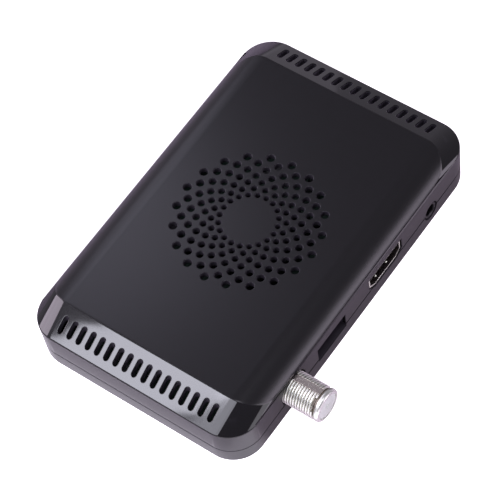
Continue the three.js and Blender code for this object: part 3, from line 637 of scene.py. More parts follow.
def socket_cutters():
    """What the sockets and the button need cut out of the case."""
    wall = bpy.context.scene.receiver_sizes.wall
    right = (COVER_HIGH.x - wall - HOLE_REACH, COVER_HIGH.x + OVERCUT)
    left = (COVER_LOW.x - OVERCUT, COVER_LOW.x + wall + OVERCUT)
    usb, contact = centre_of("usb_shell"), centre_of("f_connector_contact")
    av, eye = centre_of("av_jack_body"), centre_of("ir_jack_body")
    pin, button = centre_of("power_jack_pin"), centre_of("standby_button")
    usb_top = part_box("usb_shell")[1].z
    jack_z = BOARD_TOP + JACK_RISE
    return [
        cylinder_x(ANTENNA_HOLE, contact.y, contact.z, right, ANTENNA_SIDES),
        bar(right, usb.y, USB_HALF.x, (usb_top - 2 * USB_HALF.y, usb_top)),
        hdmi_prism(HDMI_GAP, right),
        cylinder_x(JACK_HOLE, av.y, jack_z, right),
        cylinder_x(JACK_HOLE, eye.y, jack_z, left),
        cylinder_x(POWER_HOLE, pin.y, pin.z, left, POWER_SIDES),
        cylinder_x(BUTTON_HOLE, button.y, button.z, left),
    ]


def vent_cutters():
    """Rings of round holes that grow from ring to ring, every other ring turned by half a hole."""
    s = bpy.context.scene.receiver_sizes
    made = []
    for ring in range(s.vent_rings):
        growth = ring / max(s.vent_rings - 1, 1)
        cutter = added(
            bpy.ops.mesh.primitive_cylinder_add,
            vertices=VENT_SIDES,
            radius=s.vent_inner + (s.vent_outer - s.vent_inner) * growth,
            depth=2 * s.wall,
            location=(CASE_X, 0, COVER_HIGH.z),
        )
        reach = s.vent_start + ring * s.vent_pitch
        for hole in range(s.vents_per_ring):
            angle = (hole + (ring % 2) / 2) * math.tau / s.vents_per_ring
            place = (reach * math.cos(angle), reach * math.sin(angle), 0)
            made.append(copied(cutter, place))
        bpy.data.objects.remove(cutter)
    return made


def slot_cutters():
    """The rows of slots in both end bevels."""
    s = bpy.context.scene.receiver_sizes
    half = s.slot_width / 2
    low = COVER_HIGH.z - SLOT_CUT
    plate = rounded_plate(half, s.slot_length / 2, half - HAIR, low, INNER_STEPS, CASE_X)
    cutter = raised(plate, SLOT_CUT + OVERCUT)
    made = []
    for i in range(s.slots):
        across = (i - (s.slots - 1) / 2) * s.slot_pitch
        for end in (-1, 1):
            made.append(copied(cutter, (across, end * (HALF_Y - s.slot_inset), 0)))
    bpy.data.objects.remove(cutter)
    return made


def seams_rounded(obj, width):
    """Rounds the marked edge loops of the moulding."""
    edit(obj)
    pick(obj, "EDGE", lambda e: e.seam)
    bpy.ops.mesh.bevel(offset=width, segments=EDGE_STEPS, affect="EDGES", clamp_overlap=False)
    bpy.ops.mesh.select_all(action="SELECT")
    bpy.ops.mesh.mark_seam(clear=True)
    done()


def rims_rounded(obj, width, on_skin):
    """Rounds the sharp edges that lie on the outer skin, round each hole."""

    def on_rim(edge):
        sharp = len(edge.link_faces) == 2 and edge.calc_face_angle(0.0) > SHARP_RIM
        return sharp and all(on_skin(v.co) for v in edge.verts)

    edit(obj)
    pick(obj, "EDGE", on_rim)
    bpy.ops.mesh.bevel(offset=width, segments=RIM_STEPS, affect="EDGES", clamp_overlap=False)
    done()


def in_rounded(x, y, half_x, half_y, radius):
    """Whether a place lies in a rectangle with round corners."""
    dx, dy = abs(x) - (half_x - radius), abs(y) - (half_y - radius)
    if dx <= 0 or dy <= 0:
        return dx <= radius and dy <= radius
    return dx * dx + dy * dy <= radius * radius


def inset_plate(half_x, half_y, inset, z, steps=INNER_STEPS):
    """A face with the case's round corners, set in from an outline."""
    corner = bpy.context.scene.receiver_sizes.corner - inset
    return rounded_plate(half_x - inset, half_y - inset, corner, z, steps, CASE_X)


class RECEIVER_OT_top_cover(Operator):
    """Builds the upper half of the case with its vent ring and end slots"""

    bl_idname = "receiver.top_cover"
    bl_label = "Top cover"

    def execute(self, context):
        s = context.scene.receiver_sizes
        cover = case_form(0.0, COVER_BOTTOM, OUTER_STEPS)
        seams_rounded(cover, s.edge_round)
        combined(cover, case_form(s.wall, COVER_BOTTOM - OVERCUT, INNER_STEPS))
        low_x, low_y = HALF_X - s.draft, HALF_Y - s.draft
        rebate = inset_plate(low_x, low_y, REBATE_INSET, COVER_BOTTOM - OVERCUT)
        combined(cover, raised(rebate, OVERCUT + REBATE_RISE))
        combined(cover, placed(vent_cutters() + slot_cutters()))
        for cutter in socket_cutters():
            combined(cover, cutter)
        flat_y = HALF_Y - s.end_run

        def on_skin(p):
            x, y = abs(p.x - CASE_X), abs(p.y)
            bevel = COVER_HIGH.z - (y - flat_y) * s.rim_drop / s.end_run
            level = roof(x) if y < flat_y else bevel
            return abs(p.z - level) < SKIN_NEAR or x > low_x - SKIN_NEAR or y > low_y - SKIN_NEAR

        rims_rounded(cover, s.lip_round, on_skin)
        smoothed(cover, MOULDED_ANGLE)
        looks = ("satin_top", "gloss_bevel", "satin_wall", "inner_wall", "opening_wall")
        painted(cover, *looks)
        rim = COVER_HIGH.z - s.rim_drop
        skin_x, skin_y = HALF_X - SKIN_DEPTH, HALF_Y - SKIN_DEPTH
        for face in cover.data.polygons:
            c, upright = face.center, face.normal.z
            x, y = c.x - CASE_X, c.y
            on_top = in_rounded(x, y, HALF_X - s.side_run, flat_y, s.top_corner)
            within = in_rounded(x, y, skin_x, skin_y, s.corner - SKIN_DEPTH)
            in_hole = abs(upright) < STEEP and within
            # Faces in the side openings take the dark finish as painted shade, the other faces in
            # holes the paler inside finish as painted light
            if in_hole and abs(x) > HALF_X - s.wall - WALL_SPARE and c.z < rim:
                look = "opening_wall"
            elif in_hole:
                look = "inner_wall"
            elif on_top and c.z > roof(x) - ROLL_DEPTH and upright > LEVEL:
                look = "satin_top"
            elif c.z > rim - GLOSS_DROP and not on_top:
                look = "gloss_bevel"
            else:
                look = "inner_wall" if within else "satin_wall"
            face.material_index = looks.index(look)
        dressed(cover, "cover_moulding", ["top_cover"])
        return {"FINISHED"}


class RECEIVER_OT_base_cover(Operator):
    """Builds the lower half of the case with its lip, towers, slots and pockets"""

    bl_idname = "receiver.base_cover"
    bl_label = "Base cover"

    def execute(self, context):
        s = context.scene.receiver_sizes
        half_x, half_y = HALF_X - s.draft, HALF_Y - s.draft
        bottom = BASE_LOW.z
        low = inset_plate(half_x, half_y, BASE_DRAFT, bottom, OUTER_STEPS)
        base = bridged([low, inset_plate(half_x, half_y, 0, BASE_TOP, OUTER_STEPS)])
        for level in (bottom, BASE_TOP):
            pick(base, "EDGE", on_level(level))
            if level == bottom:
                bpy.ops.mesh.mark_seam()
            bpy.ops.mesh.edge_face_add()
        tidy_normals(base)
        seams_rounded(base, s.base_round)
        lip = inset_plate(half_x, half_y, LIP_INSET, FLOOR_TOP)
        combined(base, raised(lip, BASE_HIGH.z - FLOOR_TOP), "UNION")
        combined(base, raised(inset_plate(half_x, half_y, s.wall, FLOOR_TOP), HOLLOW_CUT))
        for i in CORNERS:
            screw, foot = centre_of(f"case_screw_{i}"), centre_of(f"foot_{i}")
            screw.z = foot.z = 0
            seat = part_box(f"case_screw_{i}")[0].z + SCREW_HEAD
            pocket_top = bottom + FOOT_DEPTH
            tower = [(TOWER_RADIUS, FLOOR_TOP - OVERCUT), (TOWER_RADIUS, TOWER_TOP)]
            combined(base, turned(tower, SMALL_SIDES, screw), "UNION")
            well = [(WELL_RADIUS, -OVERCUT), (WELL_RADIUS, seat), (WELL_SHANK, seat)]
            combined(base, turned(well + [(WELL_SHANK, WELL_TOP)], SMALL_SIDES, screw))
            pocket = [(FOOT_POCKET, -OVERCUT), (FOOT_POCKET, pocket_top)]
            combined(base, turned(pocket, ROUND_SIDES, foot))
        slots = []
        for i in range(UNDER_SLOTS):
            x = CASE_X + (i - (UNDER_SLOTS - 1) / 2) * UNDER_PITCH
            radius = UNDER_HALF[0] - HAIR
            slot = rounded_plate(*UNDER_HALF, radius, bottom - OVERCUT, INNER_STEPS, x)
            slots.append(raised(slot, UNDER_CUT))
        combined(base, joined(slots))
        for cutter in socket_cutters():
            combined(base, cutter)
        near_x, near_y = half_x - BASE_DRAFT - SKIN_NEAR, half_y - BASE_DRAFT - SKIN_NEAR

        def on_skin(p):
            return p.z < bottom + SKIN_NEAR or abs(p.x - CASE_X) > near_x or abs(p.y) > near_y

        rims_rounded(base, s.lip_round, on_skin)
        smoothed(base, MOULDED_ANGLE)
        painted(base, "satin_wall", "inner_wall")
        skin_x, skin_y = half_x - BASE_SKIN, half_y - BASE_SKIN
        for face in base.data.polygons:
            x, y, z = face.center
            within = in_rounded(x - CASE_X, y, skin_x, skin_y, s.corner - BASE_SKIN)
            face.material_index = 1 if within and z >= bottom + UNDERSIDE_SKIN else 0
        dressed(base, "base_moulding", ["base_cover"])
        return {"FINISHED"}


# Antenna socket: profiles in millimetres, as distance out and distance along

CREST = 4.76 * MM  # the thread's outer radius
FLANGE, FLANGE_HALF, FLANGE_ROUND = mm(2.2, 5.1, 0.3)
NOSE = 1.55 * MM  # length of the unthreaded end
NOSE_PROFILE = (  # from the crest and the tip
    (-0.5, -1.6),
    (-0.12, -1.45),
    (0, -1.25),
    (0, -0.75),
    (-0.08, -0.4),
    (-0.28, -0.13),
    (-0.6, 0),
    (-0.96, 0),
    (-0.96, -1),
)
DISC_PROFILE = (  # from the axis and the tip
    (3.75, -11.5),
    (3.75, -0.25),
    (3.6, -0.15),
    (0.9, -0.15),
    (0.45, -0.6),
    (0.45, -2.2),
)
DISC_ANGLE = 25
# The run-out groove is cut deeper on the side that the die's slide leaves
NECK_PROFILE = ((4.3, -1.2), (4.3, 0.3))  # from the axis and the nose
NECK_SHIFT = Vector((0, 0.15, -0.31)) * MM
BARREL_BACK, BARREL_FRONT = mm(0.5, 0.7)  # how far the root ends behind flange and nose
# One turn's outline: a crest that is wider than the valley beside it
THREAD_PLACES = (0.06, 0.18, 0.3, 0.64, 0.76, 0.88)  # shares of the pitch
THREAD_SHOULDER, THREAD_SINK = mm(0.1, 0.1)
THREAD_STEPS = 64
THREAD_RUNOUT, THREAD_SHIFT, THREAD_TAIL = 0.2 * MM, 0.1 * MM, 0.9
# The two halves of the die leave a flat band along the top and the bottom, with a fine seam
BAND_ROLLS = (math.radians(-10.6), math.radians(169.4))
BAND_HALF, BAND_FLOOR, BAND_TOP = mm(1.15, 3, 6)
LAND_LOW, LAND_HIGH = Vector((0, -0.93, 3.6)) * MM, Vector((-0.45, 1.2, 4.52)) * MM
LAND_ROUND = 0.1 * MM
# The thread ends short of the nose towards the camera, which bares the root in its brown-grey
# painted shade: roll and reach
THREAD_ENDS = ((30, 1.0), (52, 0.75), (70, 0.45))
END_HALF, END_FLOOR = mm(1.1, 3.9)


def rolled(obj, angle, y, z):
    """Rolls a piece about its X axis and carries that axis to a place."""
    alone(obj)
    obj.rotation_euler = (angle, 0, 0)
    obj.location = (0, y, z)
    settled()
    return obj


def thread_form(s, turns):
    """One turn's outline carried round the axis as a screw, with both ends closed."""
    root = CREST - s.thread_depth - THREAD_SINK
    radii = (root, CREST - THREAD_SHOULDER, CREST, CREST, CREST - THREAD_SHOULDER, root)
    thread = added(
        bpy.ops.mesh.primitive_circle_add,
        vertices=len(radii),
        radius=s.thread_depth,
        fill_type="NOTHING",
    )
    edit(thread)
    mesh = bmesh.from_edit_mesh(thread.data)
    for vertex, radius, share in zip(mesh.verts, radii, THREAD_PLACES):
        vertex.co = (radius, 0, share * s.thread_pitch)
    bmesh.update_edit_mesh(thread.data)
    done()
    modified(
        thread,
        "SCREW",
        axis="Z",
        screw_offset=s.thread_pitch,
        iterations=turns,
        steps=THREAD_STEPS,
        render_steps=THREAD_STEPS,
        use_merge_vertices=False,
        use_normal_calculate=True,
    )
    edit(thread)
    pick(thread, "EDGE", lambda e: len(e.link_faces) == 1)
    bpy.ops.mesh.fill()
    return tidy_normals(thread)


class RECEIVER_OT_antenna_socket(Operator):
    """Builds the threaded antenna socket and the disc in its end"""

    bl_idname = "receiver.antenna_socket"
    bl_label = "Antenna socket"

    def execute(self, context):
        s = context.scene.receiver_sizes
        low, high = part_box("f_connector_body")
        contact = centre_of("f_connector_contact")
        y, z = contact.y, contact.z
        root = CREST - s.thread_depth
        front, tip = low.x + FLANGE, high.x
        nose = tip - NOSE
        lathe = (ANTENNA_SIDES, (0, y, z), "X")
        barrel = turned([(root, front - BARREL_BACK), (root, nose - BARREL_FRONT)], *lathe)
        neck_place = Vector((0, y, z)) + NECK_SHIFT
        neck = turned(outline(NECK_PROFILE, start=nose), ANTENNA_SIDES, neck_place, "X")
        rim = smoothed(turned(outline(NOSE_PROFILE, CREST, tip), *lathe), TURNED_ANGLE)
        flange = bar((low.x, front), y, FLANGE_HALF, (BOARD_TOP, high.z), FLANGE_ROUND)
        turns = int((nose - THREAD_RUNOUT - front) / s.thread_pitch)
        thread = alone(thread_form(s, turns))
        thread.rotation_euler = (0, QUARTER_TURN, 0)
        start = nose - THREAD_SHIFT - (turns + THREAD_TAIL) * s.thread_pitch
        thread.location = (start, y, z)
        settled()
        lands = []
        for roll in BAND_ROLLS:
            cutter = bar((front - OVERCUT, tip), 0, BAND_HALF, (BAND_FLOOR, BAND_TOP))
            combined(thread, rolled(cutter, roll, y, z))
            land = box(Vector((front, 0, 0)) + LAND_LOW, Vector((nose, 0, 0)) + LAND_HIGH)
            lands.append(rolled(eased(land, LAND_ROUND), roll, y, z))
        for roll, reach in THREAD_ENDS:
            end = bar((nose - reach * MM, nose), 0, END_HALF, (END_FLOOR, BAND_TOP))
            combined(thread, rolled(end, math.radians(roll), y, z))
        smoothed(thread, TURNED_ANGLE)
        # The root and the run-out groove take the darker brown-grey finish, as painted shade in the
        # valleys
        finished = [(rim, "nickel"), (barrel, "zinc"), (neck, "zinc"), (thread, "nickel")]
        finished += [(flange, "nickel"), *((land, "cast") for land in lands)]
        whole = joined([painted(piece, finish) for piece, finish in finished])
        dressed(whole, "antenna_socket_body", ["f_connector_body"])
        disc = turned(outline(DISC_PROFILE, start=tip), ROUND_SIDES, (0, y, z), "X")
        painted(smoothed(disc, DISC_ANGLE), "pale")
        dressed(disc, "antenna_socket_disc", ["f_connector_insulator"])
        return {"FINISHED"}


# USB socket

SHELL_STEPS = 4
STEEP_EDGE = math.radians(20)
LEG_BACK = (1.5 * MM, 4 * MM)  # where the legs stand, from the shell's back
USB_SHEET, USB_ROUND, USB_SPARE = mm(0.3, 0.7, 0.025)
USB_SPRINGS, USB_SPRING_RISE = (-3.2 * MM, 3.2 * MM), 2.3 * MM
USB_SPRING_ENDS, USB_SPRING_HALF, USB_SPRING_THICK = (6 * MM, 1.6 * MM), 0.9 * MM, 0.12 * MM
USB_LEG, THIN_ROUND = mm(0.2, 0.1)
USB_HOLDER, USB_HOLDER_ROUND = mm(3.5, 0.15)
USB_TONGUE_RISE, USB_TONGUE_HALF, USB_TONGUE_BACK = mm(0.9, 0.92, 3)
USB_TONGUE_MARGIN, USB_TONGUE_ROUND = mm(1.1, 0.3)
USB_CONTACTS = (-3.5 * MM, -1 * MM, 1 * MM, 3.5 * MM)
USB_CONTACT_ENDS, USB_CONTACT_HALF = (3.6 * MM, 1.2 * MM), 0.5 * MM
USB_CONTACT_DEPTHS, USB_CONTACT_ROUND = (1.02 * MM, 0.9 * MM), 0.04 * MM


def hollow_shell(prism, round_width, sheet):
    """A stamped tube: a prism's long edges rounded, its ends opened and its wall given depth."""

    def runs_along(edge):
        way = (edge.verts[0].co - edge.verts[1].co).normalized()
        return abs(way.x) > STRAIGHT and edge.calc_face_angle(0.0) > STEEP_EDGE

    edit(prism)
    pick(prism, "EDGE", runs_along)
    bpy.ops.mesh.bevel(offset=round_width, segments=SHELL_STEPS, affect="EDGES")
    pick(prism, "FACE", lambda f: abs(f.normal.x) > STRAIGHT)
    bpy.ops.mesh.delete(type="FACE")
    tidy_normals(prism)
    return modified(prism, "SOLIDIFY", thickness=sheet, offset=-1.0, use_even_offset=True)


def legs(low, high, half, top, round_width):
    """The pair of legs on which a stamped shell stands on the board."""
    ends = [low.x + end for end in LEG_BACK]
    places = (low.y + half, high.y - half)
    return [bar(ends, y, half, (low.z, top), round_width) for y in places]


class RECEIVER_OT_usb_socket(Operator):
    """Builds the USB socket's shell, tongue and contacts"""

    bl_idname = "receiver.usb_socket"
    bl_label = "USB socket"

    def execute(self, context):
        low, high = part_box("usb_shell")
        back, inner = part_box("usb_tongue")
        y_mid = (low.y + high.y) / 2
        middle = high.z - USB_HALF.y - USB_SPARE
        shell = box((low.x, low.y, 2 * middle - high.z), high)
        parts = [hollow_shell(shell, USB_ROUND, USB_SHEET)]
        spring_ends = [high.x - end for end in USB_SPRING_ENDS]
        for offset in USB_SPRINGS:
            for rise in (middle - USB_SPRING_RISE, middle + USB_SPRING_RISE):
                ends = (rise - USB_SPRING_THICK, rise + USB_SPRING_THICK)
                spring = bar(spring_ends, y_mid + offset, USB_SPRING_HALF, ends, THIN_ROUND)
                parts.append(spring)
        parts += legs(low, high, USB_LEG, middle, THIN_ROUND)
        whole = painted(smoothed(joined(parts), FOLDED_ANGLE), "steel")
        dressed(whole, "usb_stamped_shell", ["usb_shell"])

        holder = eased(box(back, (back.x + USB_HOLDER, inner.y, inner.z)), USB_HOLDER_ROUND)
        rest = middle + USB_TONGUE_RISE
        margin = Vector((0, USB_TONGUE_MARGIN, 0))
        tongue = box(
            Vector((back.x + USB_TONGUE_BACK, low.y, rest - USB_TONGUE_HALF)) + margin,
            Vector((inner.x, high.y, rest + USB_TONGUE_HALF)) - margin,
        )
        whole = smoothed(joined([holder, eased(tongue, USB_TONGUE_ROUND)]), FOLDED_ANGLE)
        painted(whole, "nylon")
        dressed(whole, "usb_tongue_moulding", ["usb_tongue"])
        ends = (back.x + USB_CONTACT_ENDS[0], inner.x - USB_CONTACT_ENDS[1])
        depths = [rest - depth for depth in USB_CONTACT_DEPTHS]
        contacts = [
            bar(ends, y_mid + across, USB_CONTACT_HALF, depths, USB_CONTACT_ROUND)
            for across in USB_CONTACTS
        ]
        dressed(painted(joined(contacts), "gold"), "usb_contacts")
        return {"FINISHED"}


# HDMI socket

HDMI_SHEET, HDMI_ROUND, HDMI_EDGE, HDMI_EDGE_ANGLE = 0.44 * MM, 0.18 * MM, 0.215 * MM, 50
HDMI_SLIT = (0.3 * MM, 0.05 * MM)  # its sides, from the middle
HDMI_SLIT_DEPTH = 3 * MM
FACING_IN = 0.25
HDMI_SPRINGS, HDMI_SPRING_HALF = (-2.92 * MM, 2.14 * MM), 0.5 * MM
HDMI_SPRING_ENDS, HDMI_SPRING_THICK, HDMI_SPRING_ROUND = (5 * MM, 1.9 * MM), 0.12 * MM, 0.05 * MM
BUMP_RADIUS, BUMP_BACK, BUMP_SINK, BUMP_SHAPE = 0.6 * MM, 1.4 * MM, 0.05 * MM, (1, 0.8, 0.8)
BUMP_SEGMENTS, BUMP_RINGS = 16, 8
HDMI_LEG, HDMI_LEG_TOP, HDMI_LEG_ROUND = mm(0.15, 2, 0.08)
HDMI_HOLDER_GAP, HDMI_HOLDER, HDMI_TONGUE_BACK = mm(-0.7, 3, 2)
HDMI_TONGUE_HALF, HDMI_TONGUE_THICK, HDMI_TONGUE_ROUND = mm(5.6, 0.6, 0.2)
HDMI_CONTACTS, HDMI_CONTACT_PITCH, HDMI_CONTACT_HALF = 19, 0.5 * MM, 0.15 * MM
HDMI_CONTACT_RISE, HDMI_CONTACT_THICK, HDMI_CONTACT_FRONT = mm(0.62, 0.05, 0.5)


class RECEIVER_OT_hdmi_socket(Operator):
    """Builds the HDMI socket's shell with its springs, tongue and contacts"""

    bl_idname = "receiver.hdmi_socket"
    bl_label = "HDMI socket"

    def execute(self, context):
        low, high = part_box("hdmi_shell")
        back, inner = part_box("hdmi_tongue")
        y_mid = (low.y + high.y) / 2
        floor = high.z - HDMI_HEIGHT + HDMI_SHEET
        shell = hollow_shell(hdmi_prism(0.0, (low.x, high.x)), HDMI_ROUND, HDMI_SHEET)
        eased(shell, HDMI_EDGE, HDMI_EDGE_ANGLE, 1)
        slit_low = (high.x - HDMI_SLIT_DEPTH, y_mid - HDMI_SLIT[0], floor - 2 * HDMI_SHEET)
        slit_high = (high.x + OVERCUT, y_mid - HDMI_SLIT[1], floor + HDMI_SHEET)
        combined(shell, box(slit_low, slit_high))
        # The shell takes a near-white plate as painted highlight on its edges, and the faces turned
        # inwards a dark plate as painted shade
        painted(shell, "edge", "shaded")
        middle = Vector((0, y_mid, floor + HDMI_HEIGHT / 2))
        for face in shell.data.polygons:
            inwards = middle - face.center
            inwards.x = 0
            if abs(face.normal.x) < FACING_IN and face.normal.dot(inwards) > 0:
                face.material_index = 1
        parts = [shell]
        # The two springs in the floor, each with the bump that holds the plug
        spring_ends = [high.x - end for end in HDMI_SPRING_ENDS]
        for offset in HDMI_SPRINGS:
            y, heights = y_mid + offset, (floor, floor + HDMI_SPRING_THICK)
            spring = bar(spring_ends, y, HDMI_SPRING_HALF, heights)
            bump = added(
                bpy.ops.mesh.primitive_uv_sphere_add,
                segments=BUMP_SEGMENTS,
                ring_count=BUMP_RINGS,
                radius=BUMP_RADIUS,
                location=(high.x - BUMP_BACK, y, floor - BUMP_SINK),
                scale=BUMP_SHAPE,
            )
            # The springs take the dark plate as painted shade, the bumps the near-white plate as
            # painted highlight
            spring = painted(eased(spring, HDMI_SPRING_ROUND), "shaded")
            parts += [spring, painted(bump, "edge")]
        stand = legs(low, high, HDMI_LEG, high.z - HDMI_LEG_TOP, HDMI_LEG_ROUND)
        # The legs take the near-white plate of painted highlight too
        parts += [painted(leg, "edge") for leg in stand]
        whole = smoothed(joined(parts), FOLDED_ANGLE)
        dressed(whole, "hdmi_stamped_shell", ["hdmi_shell"])

        rest = high.z - HDMI_HEIGHT / 2
        holder = hdmi_prism(HDMI_HOLDER_GAP, (back.x, back.x + HDMI_HOLDER))
        heights = (rest - HDMI_TONGUE_THICK, rest + HDMI_TONGUE_THICK)
        ends = (back.x + HDMI_TONGUE_BACK, inner.x)
        tongue = bar(ends, y_mid, HDMI_TONGUE_HALF, heights, HDMI_TONGUE_ROUND)
        whole = painted(smoothed(joined([holder, tongue]), FOLDED_ANGLE), "nylon")
        dressed(whole, "hdmi_tongue_moulding", ["hdmi_tongue"])
        contacts = []
        ends = (back.x + HDMI_HOLDER, inner.x - HDMI_CONTACT_FRONT)
        for i in range(HDMI_CONTACTS):
            y = y_mid + (i - (HDMI_CONTACTS - 1) / 2) * HDMI_CONTACT_PITCH
            rise = rest + (HDMI_CONTACT_RISE if i % 2 == 0 else -HDMI_CONTACT_RISE)
            heights = (rise - HDMI_CONTACT_THICK, rise + HDMI_CONTACT_THICK)
            contacts.append(bar(ends, y, HDMI_CONTACT_HALF, heights))
        dressed(painted(joined(contacts), "gold"), "hdmi_contacts")
        return {"FINISHED"}


# Jacks and the supply inlet, in millimetres: width, height, sleeve and bore radius, depth

AUDIO_JACK = (6.4, 4.8, 2.5, 1.85, 11)
POWER_INLET = (9, 9.2, 4.2, 3.2, 9)
SLEEVE_BASE, SHOULDER_BACK = mm(4, 3.15)
SLEEVE_ROUND, BORE_ROUND, BODY_ROUND, SLEEVE_ANGLE = 0.15 * MM, 0.25 * MM, 0.25 * MM, 30
COLLAR_DEPTHS = (0.06 * MM, 1.2 * MM)  # behind the sleeve's front
COLLAR_OUT, COLLAR_IN = mm(0.3, 0.2)
PIN_PROFILE = ((1.05, -0.5), (0.85, -0.15), (0.5, 0))  # from the axis and the front
BUTTON_PROFILE = (  # stem, flange, cap and its shallow dish, from the axis and the front
    (1.2, -3.4),
    (2.9, -3.4),
    (2.9, -2.8),
    (1.9, -2.8),
    (1.9, -0.4),
    (1.78, -0.12),
    (1.5, 0),
    (1.3, -0.04),
    (0.5, -0.12),
)


def from_back(profile, reach):
    """A profile given from its front, with its first radius carried to the back."""
    return [(profile[0][0] * MM, 0.0)] + outline(profile, start=reach)


def jack(node, name, facing, sizes, rise, finish, collar_shade_finish=None):
    """A moulded body on the board with a round sleeve through the case wall."""
    width, height, sleeve, bore, depth = (size * MM for size in sizes)
    low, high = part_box(node)
    y, z = (low.y + high.y) / 2, BOARD_TOP + rise
    front, back = (high.x, low.x) if facing > 0 else (low.x, high.x)
    body_ends = sorted((back, front - facing * SHOULDER_BACK))
    body = bar(body_ends, y, width / 2, (BOARD_TOP, BOARD_TOP + height), BODY_ROUND)
    reach = high.x - low.x
    profile = [
        (sleeve, reach - SLEEVE_BASE),
        (sleeve, reach - SLEEVE_ROUND),
        (sleeve - SLEEVE_ROUND, reach),
        (bore + BORE_ROUND, reach),
        (bore, reach - BORE_ROUND),
        (bore, reach - depth),
    ]
    ring = smoothed(turned(profile, ROUND_SIDES, (back, y, z), "X", facing < 0), SLEEVE_ANGLE)
    combined(body, cylinder_x(bore, y, z, sorted((front, front - facing * depth))))
    pieces = [painted(ring, finish), painted(body, finish)]
    if collar_shade_finish:
        # The jack's shoulder round the sleeve, just under the case's skin, in the dark finish:
        # painted shade in the gap round the sleeve
        ends = sorted(front - facing * depth for depth in COLLAR_DEPTHS)
        collar = cylinder_x(sleeve + COLLAR_OUT, y, z, ends)
        hole = cylinder_x(sleeve - COLLAR_IN, y, z, (ends[0] - OVERCUT, ends[1] + OVERCUT))
        pieces.append(painted(combined(collar, hole), collar_shade_finish))
    dressed(joined(pieces), name, [node])


class RECEIVER_OT_jacks(Operator):
    """Builds the two 3.5 mm jacks and the power inlet with its pin"""

    bl_idname = "receiver.jacks"
    bl_label = "Jacks"

    def execute(self, context):
        for kind, facing in (("av", 1), ("ir", -1)):
            # Sleeve and body in the case's wall finish, the collar in the dark finish of painted
            # shade
            looks = ("satin_wall", "opening_wall")
            names = (f"{kind}_jack_body", f"{kind}_jack_moulding")
            jack(*names, facing, AUDIO_JACK, JACK_RISE, *looks)
        low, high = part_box("power_jack_pin")
        pin = (low + high) / 2
        rise = pin.z - BOARD_TOP
        jack("power_jack_body", "power_jack_moulding", -1, POWER_INLET, rise, "nylon")
        profile = from_back(PIN_PROFILE, high.x - low.x)
        rod = turned(profile, SMALL_SIDES, (high.x, pin.y, pin.z), "X", True)
        painted(smoothed(rod, FOLDED_ANGLE), "nickel")
        dressed(rod, "power_inlet_pin", ["power_jack_pin"])
        return {"FINISHED"}


class RECEIVER_OT_standby_button(Operator):
    """Builds the push button that travels in the case wall"""

    bl_idname = "receiver.standby_button"
    bl_label = "Standby button"

    def execute(self, context):
        low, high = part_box("standby_button")
        place = (high.x, (low.y + high.y) / 2, (low.z + high.z) / 2)
        profile = from_back(BUTTON_PROFILE, high.x - low.x)
        cap = turned(profile, ROUND_SIDES, place, "X", True)
        painted(smoothed(cap, FOLDED_ANGLE), "gloss_bevel")
        dressed(cap, "standby_button_cap", ["standby_button"], MOVING_BODY)
        return {"FINISHED"}


SCREW_HEAD_PROFILE = ((1.7, 0), (2.1, 0.2), (2.3, 0.7), (2.3, 1.4), (1.25, 1.4))
SCREW_POINT_PROFILE = ((1.25, -1.2), (0.2, 0))
CROSS_LONG, CROSS_WIDE, CROSS_DEPTH = mm(1.2, 0.28, 0.9)
FOOT_PROFILE = ((-0.35, 0), (-0.1, 0.1), (0, 0.35))  # from its rim


class RECEIVER_OT_screws(Operator):
    """Builds the four recessed screws with their cross drives"""

    bl_idname = "receiver.screws"
    bl_label = "Screws"

    def execute(self, context):
        low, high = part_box("case_screw_1")
        profile = outline(SCREW_HEAD_PROFILE) + outline(SCREW_POINT_PROFILE, start=high.z - low.z)
        screw = turned(profile, SMALL_SIDES)
        for x, y in ((CROSS_LONG, CROSS_WIDE), (CROSS_WIDE, CROSS_LONG)):
            combined(screw, box((-x, -y, -OVERCUT), (x, y, CROSS_DEPTH)))
        painted(smoothed(screw, MOULDED_ANGLE), "screw")
        for i in CORNERS:
            node = f"case_screw_{i}"
            place = centre_of(node)
            place.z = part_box(node)[0].z
            copy = placed([copied(screw, place)])
            dressed(copy, f"cross_screw_{i}", [node])
        bpy.data.objects.remove(screw)
        return {"FINISHED"}


class RECEIVER_OT_feet(Operator):
    """Builds the four stick-on feet"""

    bl_idname = "receiver.feet"
    bl_label = "Feet"

    def execute(self, context):
        for i in CORNERS:
            node = f"foot_{i}"
            low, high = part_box(node)
            radius = (high.y - low.y) / 2
            place = ((low.x + high.x) / 2, (low.y + high.y) / 2, low.z)
            profile = outline(FOOT_PROFILE, radius) + [(radius, high.z - low.z)]
            foot = turned(profile, ROUND_SIDES, place)
            painted(smoothed(foot, TURNED_ANGLE), "rubber")
            dressed(foot, f"rubber_foot_{i}", [node])
        return {"FINISHED"}


# Nodes whose CAD shape stays: their finish, their record slot and their names
CHIPS = ("processor_chip", "tuner_chip", "regulator_chip", "lnb_supply_chip", "flash_chip")
CANS = ("capacitor_input", "capacitor_core", "capacitor_lnb", "crystal_can")
KEPT_NODES = (
    ("board", "circuit_board", ("main_pcb",)),
    ("gold", "contact_brass", ("f_connector_contact",)),
    ("nylon", "black_insulator", ("switch_plunger",)),
    ("steel", "tinned_steel", ("button_switch", "tuner_shield")),
    ("anodised", "anodised_sink", ("heat_sink",)),
    ("epoxy", "chip_epoxy", CHIPS),
    ("can", "capacitor_can", CANS),
    ("ferrite", "ferrite", ("power_inductor", "lnb_inductor")),
)


class RECEIVER_OT_board(Operator):
    """Gives the circuit board and what stands on it their finishes"""

    bl_idname = "receiver.board"
    bl_label = "Board"

    def execute(self, context):
        for finish, material_slot, names in KEPT_NODES:
            for name in names:
                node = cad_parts[name]
                node.data.materials.clear()
                painted(node, finish)
        return {"FINISHED"}


# Studio. Directions are in degrees: azimuth 0 in front of the near end and 90 beside the sockets

SIDE = COVER_HIGH.x
PLANE_SIZE = 6  # metres
SWEEP_Z, TABLE_Z = mm(-0.4, -0.2)
SWEEP_GLOW = 1.1
TABLE_GREY = "#c5b8c8"
